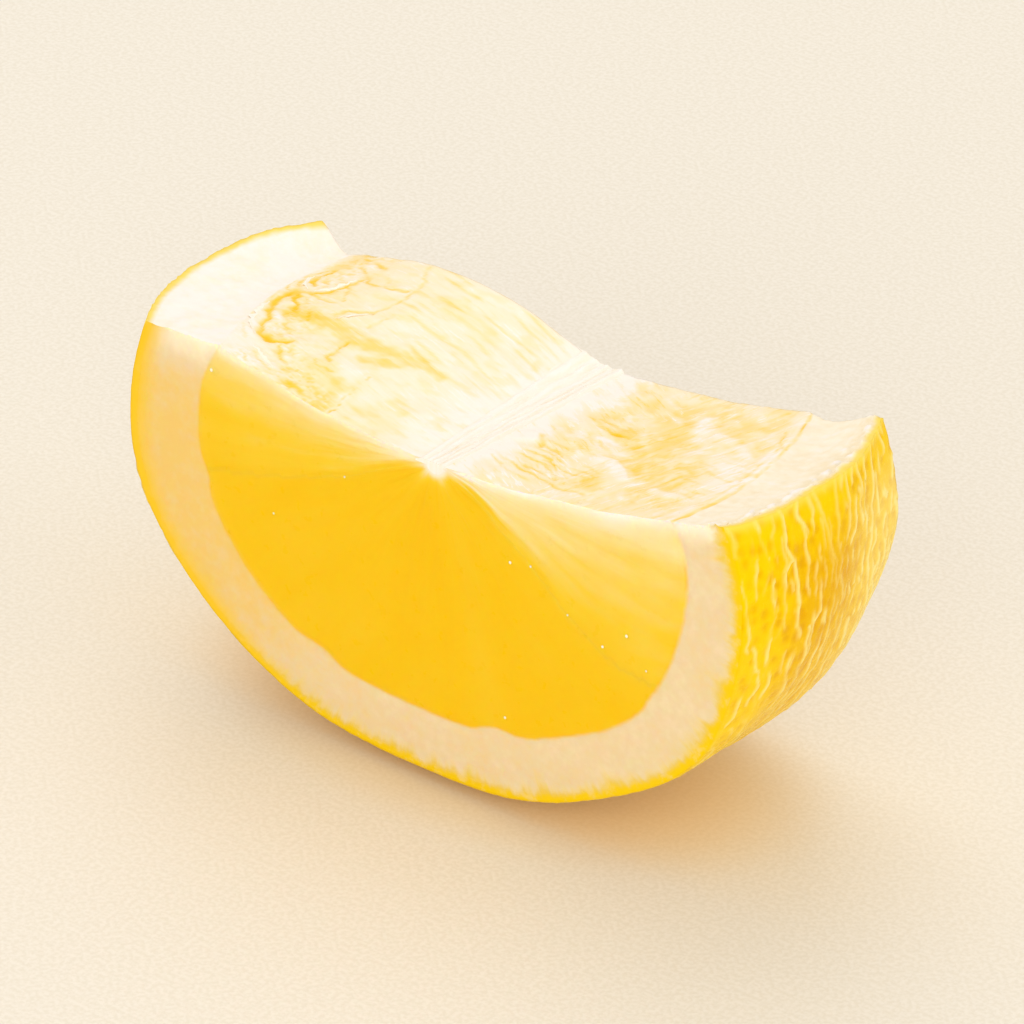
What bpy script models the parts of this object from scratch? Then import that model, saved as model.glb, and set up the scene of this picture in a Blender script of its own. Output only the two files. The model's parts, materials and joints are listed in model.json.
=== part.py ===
"""A lemon wedge: a thick half-moon chunk of lemon, cut twice across the fruit and once along its core.

The solid has two flat crosswise cuts (front and back), one uneven lengthwise cut on top that dips at
the core, and a barrel-shaped outside of peel with a small flat spot where the chunk rests.
Metres, +Z up. +X runs to the right along the front cut and +Y along the fruit's core, from the front
cut to the back cut. The origin is the middle of the underside.
"""

import math

import bmesh
import bpy
import numpy as np

MM = 0.001

# Driving dimensions, in millimetres and degrees.
LENGTH = 22.4  # between the two crosswise cuts, along the core
# The peel's distance from the core at each angle, on the front cut, halfway back and on the back cut.
# 0 points right and -90 straight down. The list runs from the right rim to the left rim.
OUTLINE = (
    (9.8, 27.8, 29.9, 26.6),
    (0.0, 29.2, 30.4, 27.9),
    (-28.0, 31.0, 31.9, 29.8),
    (-60.0, 29.8, 31.1, 29.2),
    (-88.0, 29.6, 30.5, 29.0),
    (-122.0, 31.3, 32.2, 30.7),
    (-142.0, 32.7, 34.0, 31.9),
    (-160.0, 32.7, 34.4, 31.8),
    (-175.0, 31.0, 33.4, 30.2),
    (-185.2, 29.2, 32.2, 28.6),
)
RIPPLE = 0.16  # height of the peel's slow unevenness
CORE_FALL = 2.1  # how much lower the core is at the back cut than at the front
REST_DEPTH = 0.35  # how much of the round underside the flat spot takes off

# The lengthwise cut: where the flesh meets the pith on each side, and how high, front and back.
LEFT_BORDER = (-21.6, -25.2)
LEFT_BORDER_HEIGHT = (2.9, -0.7)
RIGHT_BORDER = (22.9, 19.9)
RIGHT_BORDER_HEIGHT = (3.3, 1.1)
LEFT_RIM_HEIGHT = (2.5, 1.4)
RIGHT_RIM_HEIGHT = (4.7, 3.0)
LEFT_SWELL = (-0.7, 2.7)  # the left segment's skin above a straight line from border to core
RIGHT_SWELL = (-0.5, -0.6)
PITH_DIP = 0.6  # the groove in the pith beside the flesh, at the back
CORE_HALF_WIDTH = 1.2  # the core is level this far to each side

# How finely the surfaces are divided.
STATIONS = 22
OUTLINE_STEPS = 84
PITH_STEPS = 5
FLESH_STEPS = 17


def along(pair, share):
    """The value part of the way from the front cut's to the back cut's."""
    return pair[0] + (pair[1] - pair[0]) * share


def smooth_through(xs, values, x):
    """A smooth curve through the values at the rising positions xs."""
    slopes = np.gradient(values, xs)
    i = int(np.clip(np.searchsorted(xs, x) - 1, 0, len(xs) - 2))
    step = xs[i + 1] - xs[i]
    t = (x - xs[i]) / step
    start = (1 + 2 * t) * (1 - t) ** 2 * values[i] + t * (1 - t) ** 2 * step * slopes[i]
    end = t * t * (3 - 2 * t) * values[i + 1] + t * t * (t - 1) * step * slopes[i + 1]
    return start + end


def peel_radius(angle, y):
    """The peel's distance from the core line, at an angle and at a distance y behind the front cut."""
    angles, fronts, middles, backs = np.array(OUTLINE)[::-1].T
    front, middle, back = (smooth_through(angles, radii, angle) for radii in (fronts, middles, backs))
    share = y / LENGTH
    bulge = middle - (front + back) / 2
    turn = math.radians(angle)
    ripple = math.sin(5 * turn + 0.30 * y) + math.sin(9 * turn - 0.45 * y + 1.0)
    return front + (back - front) * share + 4 * bulge * share * (1 - share) + RIPPLE * ripple


def rim_angle(near, height, y):
    """How far above the core's level a rim stands, in degrees, at its height and near an angle."""
    return math.degrees(math.asin(height / peel_radius(near, y)))


def core_height(y):
    """How far the core's cut surface is above its front end."""
    return -CORE_FALL * y / LENGTH


def peel_points(y):
    """The outside from the right rim down and round to the left rim, as (x, height) from the core."""
    right_rim = rim_angle(OUTLINE[0][0], along(RIGHT_RIM_HEIGHT, y / LENGTH), y)
    left_rim = -180 - rim_angle(OUTLINE[-1][0], along(LEFT_RIM_HEIGHT, y / LENGTH), y)
    points = []
    for angle in np.linspace(right_rim, left_rim, OUTLINE_STEPS + 1):
        turn = math.radians(angle)
        radius = peel_radius(angle, y)
        points.append((radius * math.cos(turn), radius * math.sin(turn)))
    return points


def pith_points(rim, border, share):
    """The cut pith from the rim inwards, without its two ends, with a groove beside the flesh."""
    points = []
    for i in range(1, PITH_STEPS):
        t = i / PITH_STEPS
        dip = PITH_DIP * share * math.sin(math.pi * t ** 2)
        points.append((rim[0] + (border[0] - rim[0]) * t, rim[1] + (border[1] - rim[1]) * t - dip))
    return points


def flesh_points(border, core, swell):
    """The skin over a segment from the border to the core, both ends included."""
    points = []
    for i in range(FLESH_STEPS + 1):
        t = i / FLESH_STEPS
        rise = swell * math.sin(math.pi * t)
        points.append((border[0] + (core[0] - border[0]) * t, border[1] + (core[1] - border[1]) * t + rise))
    return points


def lengthwise_cut_points(left_rim, right_rim, y):
    """The top from the left rim to the right rim, without the rims, as (x, height) from the core."""
    share = y / LENGTH
    left_border = (along(LEFT_BORDER, share), along(LEFT_BORDER_HEIGHT, share))
    right_border = (along(RIGHT_BORDER, share), along(RIGHT_BORDER_HEIGHT, share))
    core_left = (-CORE_HALF_WIDTH, core_height(y))
    core_right = (CORE_HALF_WIDTH, core_height(y))
    left = pith_points(left_rim, left_border, share)
    left += flesh_points(left_border, core_left, along(LEFT_SWELL, share))
    right = pith_points(right_rim, right_border, share)
    right += flesh_points(right_border, core_right, along(RIGHT_SWELL, share))
    return left + right[::-1]


def section(y):
    """The whole closed outline at a distance y behind the front cut."""
    outside = peel_points(y)
    return outside + lengthwise_cut_points(outside[-1], outside[0], y)


def chunk_mesh():
    """The outlines joined into a skin from the front cut to the back cut, with a flat face on each."""
    shape = bmesh.new()
    rings = []
    for y in np.linspace(0, LENGTH, STATIONS + 1):
        rings.append([shape.verts.new((x * MM, y * MM, z * MM)) for x, z in section(y)])
    for front, back in zip(rings, rings[1:]):
        for i, corner in enumerate(front):
            j = (i + 1) % len(front)
            shape.faces.new((corner, back[i], back[j], front[j]))
    shape.faces.new(rings[0])
    shape.faces.new(rings[-1][::-1])
    bmesh.ops.recalc_face_normals(shape, faces=shape.faces)
    return shape


def rest_on_ground(shape):
    """Moves the shape so that its flat spot will be at z = 0 and its box is centred on the origin."""
    corners = np.array([vertex.co for vertex in shape.verts])
    low, high = corners.min(axis=0), corners.max(axis=0)
    middle = (low + high) / 2
    bmesh.ops.translate(
        shape, verts=shape.verts, vec=(-middle[0], -middle[1], -low[2] - REST_DEPTH * MM)
    )


def peel_material():
    """Waxy lemon yellow."""
    material = bpy.data.materials.new("lemon_peel")
    material.use_nodes = True
    shader = material.node_tree.nodes["Principled BSDF"]
    shader.inputs["Base Color"].default_value = (0.90, 0.62, 0.04, 1)
    shader.inputs["Roughness"].default_value = 0.35
    shader.inputs["Metallic"].default_value = 0
    return material


def ground_cutter():
    """A block under z = 0, whose top face makes the flat spot."""
    size = 4 * LENGTH * MM
    bpy.ops.mesh.primitive_cube_add(size=size, location=(0, 0, -size / 2))
    cutter = bpy.context.active_object
    cutter.name = "ground_cutter"
    cutter.hide_render = True
    cutter.display_type = "WIRE"
    return cutter


def lemon_wedge():
    """The whole chunk as one object, smooth on its outside and sharp along its cuts."""
    shape = chunk_mesh()
    rest_on_ground(shape)
    mesh = bpy.data.meshes.new("lemon_wedge")
    shape.to_mesh(mesh)
    shape.free()
    mesh.materials.append(peel_material())
    mesh.shade_smooth()
    mesh.set_sharp_from_angle(angle=math.radians(40))
    wedge = bpy.data.objects.new("lemon_wedge", mesh)
    bpy.context.scene.collection.objects.link(wedge)
    flat_spot = wedge.modifiers.new("flat_spot", "BOOLEAN")
    flat_spot.operation = "DIFFERENCE"
    flat_spot.object = ground_cutter()
    return wedge


def main():
    for old in list(bpy.data.objects):
        bpy.data.objects.remove(old)
    lemon_wedge()


main()
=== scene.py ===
# %% [markdown]
# # A wedge of lemon
# A thick half-moon chunk of ripe lemon stands on its peel. Two crosswise cuts are its front and
# back, and one lengthwise cut through the core is its top. A solid with the right outline already
# exists. It is loaded here as a fixed frame, and every visible piece is made to fit it: the flesh
# with its white pith, the peel, the core, the torn films of the segments and a few drops of
# juice.

import json
import math

import bmesh
import bpy
import numpy as np
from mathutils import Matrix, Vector

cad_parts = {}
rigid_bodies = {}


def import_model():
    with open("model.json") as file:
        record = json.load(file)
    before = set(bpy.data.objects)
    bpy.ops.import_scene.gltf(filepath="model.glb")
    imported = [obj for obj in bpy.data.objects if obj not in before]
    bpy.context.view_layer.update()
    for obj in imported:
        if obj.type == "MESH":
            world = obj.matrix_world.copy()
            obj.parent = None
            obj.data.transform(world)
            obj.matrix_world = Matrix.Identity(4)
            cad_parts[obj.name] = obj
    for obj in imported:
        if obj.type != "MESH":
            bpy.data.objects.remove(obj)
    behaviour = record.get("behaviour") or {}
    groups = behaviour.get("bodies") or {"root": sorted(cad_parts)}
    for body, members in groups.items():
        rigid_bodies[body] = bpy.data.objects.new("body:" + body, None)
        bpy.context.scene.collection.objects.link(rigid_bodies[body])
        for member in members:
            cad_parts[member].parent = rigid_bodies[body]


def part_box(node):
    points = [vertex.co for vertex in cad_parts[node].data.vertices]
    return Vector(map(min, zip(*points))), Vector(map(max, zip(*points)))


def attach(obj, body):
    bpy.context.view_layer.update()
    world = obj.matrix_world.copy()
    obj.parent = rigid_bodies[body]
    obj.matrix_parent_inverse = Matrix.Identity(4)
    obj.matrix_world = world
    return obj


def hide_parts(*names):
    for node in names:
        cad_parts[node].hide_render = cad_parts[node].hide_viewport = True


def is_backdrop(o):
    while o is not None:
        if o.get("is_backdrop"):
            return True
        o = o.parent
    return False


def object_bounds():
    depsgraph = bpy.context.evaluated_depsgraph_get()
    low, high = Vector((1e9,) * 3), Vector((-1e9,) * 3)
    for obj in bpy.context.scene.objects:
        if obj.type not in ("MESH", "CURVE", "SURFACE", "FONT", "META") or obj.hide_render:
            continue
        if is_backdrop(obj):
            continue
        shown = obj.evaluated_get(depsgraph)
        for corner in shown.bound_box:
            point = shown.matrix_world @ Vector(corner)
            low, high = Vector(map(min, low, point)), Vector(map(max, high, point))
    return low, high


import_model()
cad_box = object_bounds()
wedge_low, wedge_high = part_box("lemon_wedge")


def print_size(label, box):
    """Prints a box's size in millimetres."""
    print(label, [round(side * 1000, 1) for side in box[1] - box[0]])


print_size("solid, in mm:", cad_box)

# %% [markdown]
# ## The shape of the fruit
# Every piece follows the same few curves: how far the peel is from the core at each angle, where
# the flesh meets the pith, and how the lengthwise cut rises and falls. One way would be to
# measure the solid's mesh. Its own driving numbers are cleaner, so they are repeated here, in
# millimetres and degrees. Distances are from the front end of the core: x to the right, y back
# along the core, z up.

# %% The driving numbers
MM = 0.001
LENGTH = 22.4  # between the two crosswise cuts
# For each angle, the peel's distance from the core on the front cut, halfway back and on the back.
OUTLINE = np.array([
    (-185.2, 29.2, 32.2, 28.6),
    (-175.0, 31.0, 33.4, 30.2),
    (-160.0, 32.7, 34.4, 31.8),
    (-142.0, 32.7, 34.0, 31.9),
    (-122.0, 31.3, 32.2, 30.7),
    (-88.0, 29.6, 30.5, 29.0),
    (-60.0, 29.8, 31.1, 29.2),
    (-28.0, 31.0, 31.9, 29.8),
    (0.0, 29.2, 30.4, 27.9),
    (9.8, 27.8, 29.9, 26.6),
])
RIPPLE = 0.16  # the unevenness of the peel's outline
CORE_FALL = 2.1  # how much lower the core is at the back
CORE_RADIUS = 0.85
# Pairs are the values on the front cut and on the back cut.
RIGHT_RIM_HEIGHT, LEFT_RIM_HEIGHT = (4.7, 3.0), (2.5, 1.4)
# How far from the core the flesh ends on the lengthwise cut, at shares of the way back.
RIGHT_BORDER = ((0, 0.12, 0.32, 0.55, 0.82, 1), (22.9, 23.3, 23.6, 23.1, 21.8, 20.4))
LEFT_BORDER = ((0, 0.25, 0.5, 0.75, 1), (-21.6, -23.5, -25.1, -25.7, -25.8))
RIGHT_BORDER_HEIGHT, LEFT_BORDER_HEIGHT = (3.3, 1.1), (2.9, -0.7)
RIGHT_SWELL, LEFT_SWELL = (-0.5, -0.6), (-0.7, 2.7)
PITH_DIP = 0.6  # how far the cut pith sags at the back
RIM_BLEND = 25  # degrees over which the rind changes from its own thickness to the cut's
RIGHT_BLEND, LEFT_BLEND = 0.06, 0.08  # how far round the fruit each side of the cut shapes it
# The rind's thickness at each angle: the flesh is inside it.
RIND = np.array([
    (-187, 7.5), (-175, 6.9), (-158, 7.4), (-125, 6.0), (-88, 5.6),
    (-50, 5.6), (-28, 6.0), (0, 5.0), (8, 4.7),
])
PEEL = 0.8  # the thickness of the separate yellow shell
# Where segment walls meet the rind: angle, how far the pith reaches in, and how wide that is.
RIND_STEPS = ((-33.0, 0.25, 2.5), (-76.0, 0.75, 4.5), (-118.0, 0.6, 4.0), (-157.0, 0.35, 3.0))


def along(pair, share):
    """The value part of the way from the front cut's to the back cut's."""
    return pair[0] + (pair[1] - pair[0]) * share


def bell(value):
    """1 at 0, and close to 0 beyond 2 on either side."""
    return np.exp(-value ** 2)


def smooth_through(xs, values, x):
    """A smooth curve through the values at the rising positions xs."""
    slopes = np.gradient(values, xs)
    i = np.clip(np.searchsorted(xs, x) - 1, 0, len(xs) - 2)
    step = xs[i + 1] - xs[i]
    t = (x - xs[i]) / step
    start = (1 + 2 * t) * (1 - t) ** 2 * values[i] + t * (1 - t) ** 2 * step * slopes[i]
    return start + t * t * (3 - 2 * t) * values[i + 1] + t * t * (t - 1) * step * slopes[i + 1]


def peel_radius(angle, y):
    """The peel's distance from the core line."""
    front, middle, back = (smooth_through(OUTLINE[:, 0], OUTLINE[:, k], angle) for k in (1, 2, 3))
    share = y / LENGTH
    bulge = middle - (front + back) / 2
    turn = np.radians(angle)
    ripple = np.sin(5 * turn + 0.30 * y) + np.sin(9 * turn - 0.45 * y + 1.0)
    return front + (back - front) * share + 4 * bulge * share * (1 - share) + RIPPLE * ripple


def core_height(y):
    """The core's cut surface, above its front end."""
    return -CORE_FALL * y / LENGTH


def rim_angles(y):
    """The angles of the right and the left rim, where the lengthwise cut meets the peel."""
    share = y / LENGTH
    right = np.degrees(np.arcsin(along(RIGHT_RIM_HEIGHT, share) / peel_radius(OUTLINE[-1, 0], y)))
    left = np.degrees(np.arcsin(along(LEFT_RIM_HEIGHT, share) / peel_radius(OUTLINE[0, 0], y)))
    return right, -180 - left


# %% Where the front end of the core is in the frame
stations = np.linspace(0, LENGTH, 23)[:, None]
right_rim, left_rim = rim_angles(stations)
angles = right_rim + (left_rim - right_rim) * np.linspace(0, 1, 85)
outline_x = peel_radius(angles, stations) * np.cos(np.radians(angles))
core_front = np.array([
    (wedge_low.x + wedge_high.x) / 2 / MM - (outline_x.min() + outline_x.max()) / 2,
    wedge_low.y / MM,
    wedge_high.z / MM - RIGHT_RIM_HEIGHT[0],
])
print("front end of the core, in mm:", core_front.round(3))

# %% [markdown]
# ## From a blank to the fruit
# Carving such a shape face by face would take days. Instead a regular blank, half of a thick
# ring, is made with ordinary modelling tools, and then each of its points is moved to its place
# in the fruit. Three numbers say where a point belongs: how far round it is, from the right rim
# to the left rim, which layer it is in, and how far behind the front cut it is. Layers 0 to 1 are
# flesh, 1 to 2 are pith and 2 to 3 are peel. The same function places every piece, so they fit
# together exactly.

# %% Place points in the fruit
def side_cut(side, layer, y, rim, rind, inset):
    """The lengthwise cut on one side, 1 for right and -1 for left, as (x, z) for each layer."""
    share = y / LENGTH
    right = side > 0
    border = np.stack([
        smooth_through(*np.array(RIGHT_BORDER if right else LEFT_BORDER), share),
        along(RIGHT_BORDER_HEIGHT if right else LEFT_BORDER_HEIGHT, share),
    ], -1)
    core = np.stack([side * CORE_RADIUS + 0 * y, core_height(y)], -1)
    to_core = np.clip(1 - layer, 0, 1)
    flesh = border + (core - border) * to_core[:, None]
    flesh[:, 1] += along(RIGHT_SWELL if right else LEFT_SWELL, share) * np.sin(np.pi * to_core)
    from_rim = np.clip(inset / rind, 0, 1)
    pith = rim + (border - rim) * from_rim[:, None]
    pith[:, 1] -= PITH_DIP * share * np.sin(np.pi * from_rim ** 2)
    return np.where((layer < 1)[:, None], flesh, pith)


def rays(round_share, y):
    """The line from the core to the peel at each point: its angle, ends and rind thickness."""
    right, left = rim_angles(y)
    angle = right + (left - right) * round_share
    turn = np.radians(angle)
    radius = peel_radius(angle, y)
    peel = np.stack([radius * np.cos(turn), radius * np.sin(turn)], -1)
    start_turn = -np.pi * round_share
    start = CORE_RADIUS * np.stack([np.cos(start_turn), np.sin(start_turn)], -1)
    start[:, 1] += core_height(y)
    share = y / LENGTH
    rind = np.interp(angle, RIND[:, 0], RIND[:, 1])
    for wall, deep, wide in RIND_STEPS:
        rind = rind + deep * bell((angle - wall) / wide)
    for rim, border, height in (
        (right, RIGHT_BORDER, RIGHT_BORDER_HEIGHT), (left, LEFT_BORDER, LEFT_BORDER_HEIGHT),
    ):
        rim_turn, rim_radius = np.radians(rim), peel_radius(rim, y)
        wide = np.hypot(
            rim_radius * np.cos(rim_turn) - smooth_through(*np.array(border), share),
            rim_radius * np.sin(rim_turn) - along(height, share),
        )
        usual = np.interp(rim, RIND[:, 0], RIND[:, 1])
        rind = rind + (wide - usual) * bell((angle - rim) / RIM_BLEND)
    return angle, peel, start, rind


def straight_place(layer, peel, start, rind):
    """The (x, z) of a layer on its ray, and how far it is inside the peel's outer face."""
    span = np.linalg.norm(peel - start, axis=-1)
    inset = np.select(
        [layer < 1, layer < 2],
        [rind + (span - rind) * (1 - layer), PEEL + (rind - PEEL) * (2 - layer)],
        PEEL * (3 - layer),
    )
    return peel + (start - peel) / span[:, None] * inset[:, None], inset


class Places:
    """Points in the fruit, in mm from the front end of the core, and what is known about them."""

    def __init__(self, round_share, layer, y):
        self.round_share, self.layer, self.y = round_share, layer, y
        self.angle, peel, start, self.rind_thickness = rays(round_share, y)
        spot, self.depth = straight_place(layer, peel, start, self.rind_thickness)
        right, left = rim_angles(y)
        for side, end, blend in ((1, 0 * y, RIGHT_BLEND), (-1, 0 * y + 1, LEFT_BLEND)):
            _, rim_peel, rim_start, rim_rind = rays(end, y)
            plain, rim_inset = straight_place(layer, rim_peel, rim_start, rim_rind)
            shift = side_cut(side, layer, y, rim_peel, rim_rind, rim_inset) - plain
            spot = spot + shift * bell((round_share - end) / blend)[:, None]
        self.x, self.z = spot[:, 0], spot[:, 1]
        self.reach = np.hypot(self.x, self.z - core_height(y))  # from the core
        from_rim = np.radians(np.minimum(right - self.angle, self.angle - left))
        self.below_top = self.reach * from_rim  # round the fruit, from the nearer rim
        self.into_pith = self.rind_thickness - self.depth  # negative in the flesh
        # Along the peel, from the right rim.
        self.arc = np.radians(right - self.angle) * peel_radius(self.angle, y)


def in_frame(x, y, z):
    """Millimetres from the front end of the core, as metres in the frame."""
    points = np.stack([x, y, z], -1) + core_front
    # The fruit's own weight presses the peel flat where it rests.
    points[:, 2] = np.maximum(points[:, 2], 0)
    return points * MM


# %% Make the blank
HIDDEN_KEPT = 0.06  # the share of faces kept where two pieces touch
SAME_POINT, ON_WALL = 2e-6, 3e-5  # metres


def only(*wanted):
    """Selects these objects and nothing else, and makes the first one active."""
    bpy.ops.object.select_all(action="DESELECT")
    for piece in wanted:
        piece.select_set(True)
    bpy.context.view_layer.objects.active = wanted[0]


def edit_all():
    """Starts editing the active piece, with everything selected."""
    bpy.ops.object.mode_set(mode="EDIT")
    bpy.ops.mesh.select_all(action="SELECT")


def grid(across, lengthways, size=2, location=(0, 0, 0)):
    """A flat grid of faces, with its size in mm."""
    bpy.ops.object.select_all(action="DESELECT")
    bpy.ops.mesh.primitive_grid_add(
        x_subdivisions=across, y_subdivisions=lengthways, size=size * MM, location=location,
    )
    return bpy.context.object


def select_walls(ring, radii):
    """In edit mode, selects the round walls at these distances from the axis, in mm."""
    bpy.ops.mesh.select_mode(type="FACE")
    bpy.ops.mesh.select_all(action="DESELECT")
    shape = bmesh.from_edit_mesh(ring.data)
    for face in shape.faces:
        middle = face.calc_center_median()
        distance = math.hypot(middle.x, middle.z)
        on_wall = min(abs(distance - radius * MM) for radius in radii) < ON_WALL
        face.select = on_wall and abs(face.normal.y) < 0.5 and middle.z < -1e-6
    bmesh.update_edit_mesh(ring.data)


def half_ring(name, inner, outer, across, lengthways, turns, hidden_walls):
    """A thick half ring lying below z = 0, with its two flat ends up."""
    right_end = grid(
        across, lengthways, 1, location=((inner + outer) / 2 * MM, LENGTH / 2 * MM, 0),
    )
    right_end.scale = (outer - inner, LENGTH, 1)
    bpy.ops.object.transform_apply(location=True, rotation=True, scale=True)
    bpy.ops.object.duplicate()
    left_end = bpy.context.object
    edit_all()
    bpy.ops.transform.rotate(value=math.pi, orient_axis="Y", center_override=(0, 0, 0))
    bpy.ops.object.mode_set(mode="OBJECT")
    only(right_end)
    bpy.ops.object.duplicate()
    ring = bpy.context.object
    ring.name = ring.data.name = name
    # Only the outline of the end is kept, and it is swept half round.
    edit_all()
    bpy.ops.mesh.region_to_loop()
    bpy.ops.mesh.select_mode(type="VERT")
    bpy.ops.mesh.select_all(action="INVERT")
    bpy.ops.mesh.delete(type="VERT")
    bpy.ops.object.mode_set(mode="OBJECT")
    bpy.ops.object.modifier_add(type="SCREW")
    sweep = ring.modifiers[-1]
    sweep.axis, sweep.angle, sweep.steps, sweep.render_steps = "Y", math.pi, turns, turns
    bpy.ops.object.modifier_apply(modifier=sweep.name)
    only(ring, right_end, left_end)
    bpy.ops.object.join()
    edit_all()
    bpy.ops.mesh.remove_doubles(threshold=SAME_POINT)
    bpy.ops.mesh.normals_make_consistent(inside=False)
    select_walls(ring, hidden_walls)
    bpy.ops.mesh.region_to_loop()
    bpy.ops.mesh.mark_sharp()  # the cuts stay flat right up to the seams
    select_walls(ring, hidden_walls)
    bpy.ops.mesh.select_less()  # the walls' own edges stay as they are
    bpy.ops.object.vertex_group_add()
    ring.vertex_groups.active.name = "hidden walls"
    bpy.ops.object.vertex_group_assign()
    bpy.ops.object.mode_set(mode="OBJECT")
    print(name, "faces", len(ring.data.polygons))
    return ring


def thin_hidden_walls(ring):
    """Removes most faces where the piece touches another, once it has its shape."""
    only(ring)
    bpy.ops.object.mode_set(mode="EDIT")
    bpy.ops.mesh.select_mode(type="VERT")
    bpy.ops.mesh.select_all(action="DESELECT")
    bpy.ops.object.vertex_group_select()
    bpy.ops.mesh.decimate(ratio=HIDDEN_KEPT)
    shape = bmesh.from_edit_mesh(ring.data)
    loose = sum(not edge.is_manifold for edge in shape.edges)
    triangles = sum(len(face.verts) - 2 for face in shape.faces)
    bpy.ops.object.mode_set(mode="OBJECT")
    ring.vertex_groups.clear()
    print(ring.name, "triangles", triangles, "open edges", loose)


def points_of(piece):
    """The piece's points, in millimetres."""
    points = np.empty(len(piece.data.vertices) * 3, np.float32)
    piece.data.vertices.foreach_get("co", points)
    return points.reshape(-1, 3).astype(float) / MM


def move_points(piece, points):
    """Puts the piece's points at new places, in metres."""
    piece.data.vertices.foreach_set("co", points.astype(np.float32).ravel())
    piece.data.update()


# %% [markdown]
# ## Randomness that repeats
# Fruit is never regular, so the surfaces need noise. Blender's own textures can't move mesh
# points along chosen directions with enough control, so small helpers make it from whole-number
# cells: soft hills, and spots scattered like oil glands. Both take a seed, so the lemon comes out
# the same every time. Another helper gives the distance to a drawn line, for the creases.

# %% Noise helpers
def cell_value(seed, column, row):
    """A repeatable random number from 0 to 1 for each cell. Large factors scramble the bits."""
    mixed = np.full(np.shape(column), seed * 374761393 % 2 ** 32, np.uint64)
    for cell, stride in ((column, 668265263), (row, 2246822519)):
        mixed = (mixed ^ (np.asarray(cell, np.int64).astype(np.uint64) * stride)) & 0xFFFFFFFF
        mixed = ((mixed ^ (mixed >> 15)) * 2246822519) & 0xFFFFFFFF
        mixed = ((mixed ^ (mixed >> 13)) * 3266489917) & 0xFFFFFFFF
        mixed = mixed ^ (mixed >> 16)
    return mixed / 2 ** 32


def fade(gap):
    """1 at a cell's corner and 0 a cell away from it, with a smooth start and end."""
    close = 1 - np.abs(gap)
    return close ** 3 * (close * (6 * close - 15) + 10)


def hills(x, y, seed):
    """Smooth random hills and hollows about 1 across, from about -1 to 1."""
    column, row = np.floor(x), np.floor(y)
    total = 0
    for right in (0, 1):
        for up in (0, 1):
            lean = 2 * np.pi * cell_value(seed, column + right, row + up)
            dx, dy = x - column - right, y - row - up
            total = total + fade(dx) * fade(dy) * (dx * np.cos(lean) + dy * np.sin(lean))
    return total * 1.5


def rough_hills(x, y, seed, layers=4):
    """Hills with smaller hills on them."""
    return sum(hills(x * 2 ** k, y * 2 ** k, seed + 17 * k) / 2 ** k for k in range(layers))


def spots(x, y, seed, scatter):
    """The distance to the nearest of scattered spots about 1 apart, and a number for that spot."""
    column, row = np.floor(x), np.floor(y)
    near, value = np.full(np.shape(x), 9.0), np.zeros(np.shape(x))
    for right in (-1, 0, 1):
        for up in (-1, 0, 1):
            cx, cy = column + right, row + up
            dx = cx + 0.5 + scatter * (cell_value(seed, cx, cy) - 0.5) - x
            dy = cy + 0.5 + scatter * (cell_value(seed + 1, cx, cy) - 0.5) - y
            gap = np.hypot(dx, dy)
            value = np.where(gap < near, cell_value(seed + 2, cx, cy), value)
            near = np.minimum(near, gap)
    return near, value


def gap_to_line(x, y, points):
    """The distance to a line drawn through points."""
    nearest = np.full(np.shape(x), 1e3)
    for (x0, y0), (x1, y1) in zip(points, points[1:]):
        dx, dy = x1 - x0, y1 - y0
        t = np.clip(((x - x0) * dx + (y - y0) * dy) / (dx * dx + dy * dy), 0, 1)
        nearest = np.minimum(nearest, np.hypot(x - x0 - t * dx, y - y0 - t * dy))
    return nearest


def rise(low, high, value):
    """0 below low, 1 above high, and smooth between."""
    t = np.clip((value - low) / (high - low), 0, 1)
    return t * t * (3 - 2 * t)


def patch(x, y, middle, half_size, softness=0.35):
    """1 inside an oval and 0 outside it."""
    away = np.hypot((x - middle[0]) / half_size[0], (y - middle[1]) / half_size[1])
    return 1 - rise(1 - softness, 1 + softness, away)
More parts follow.
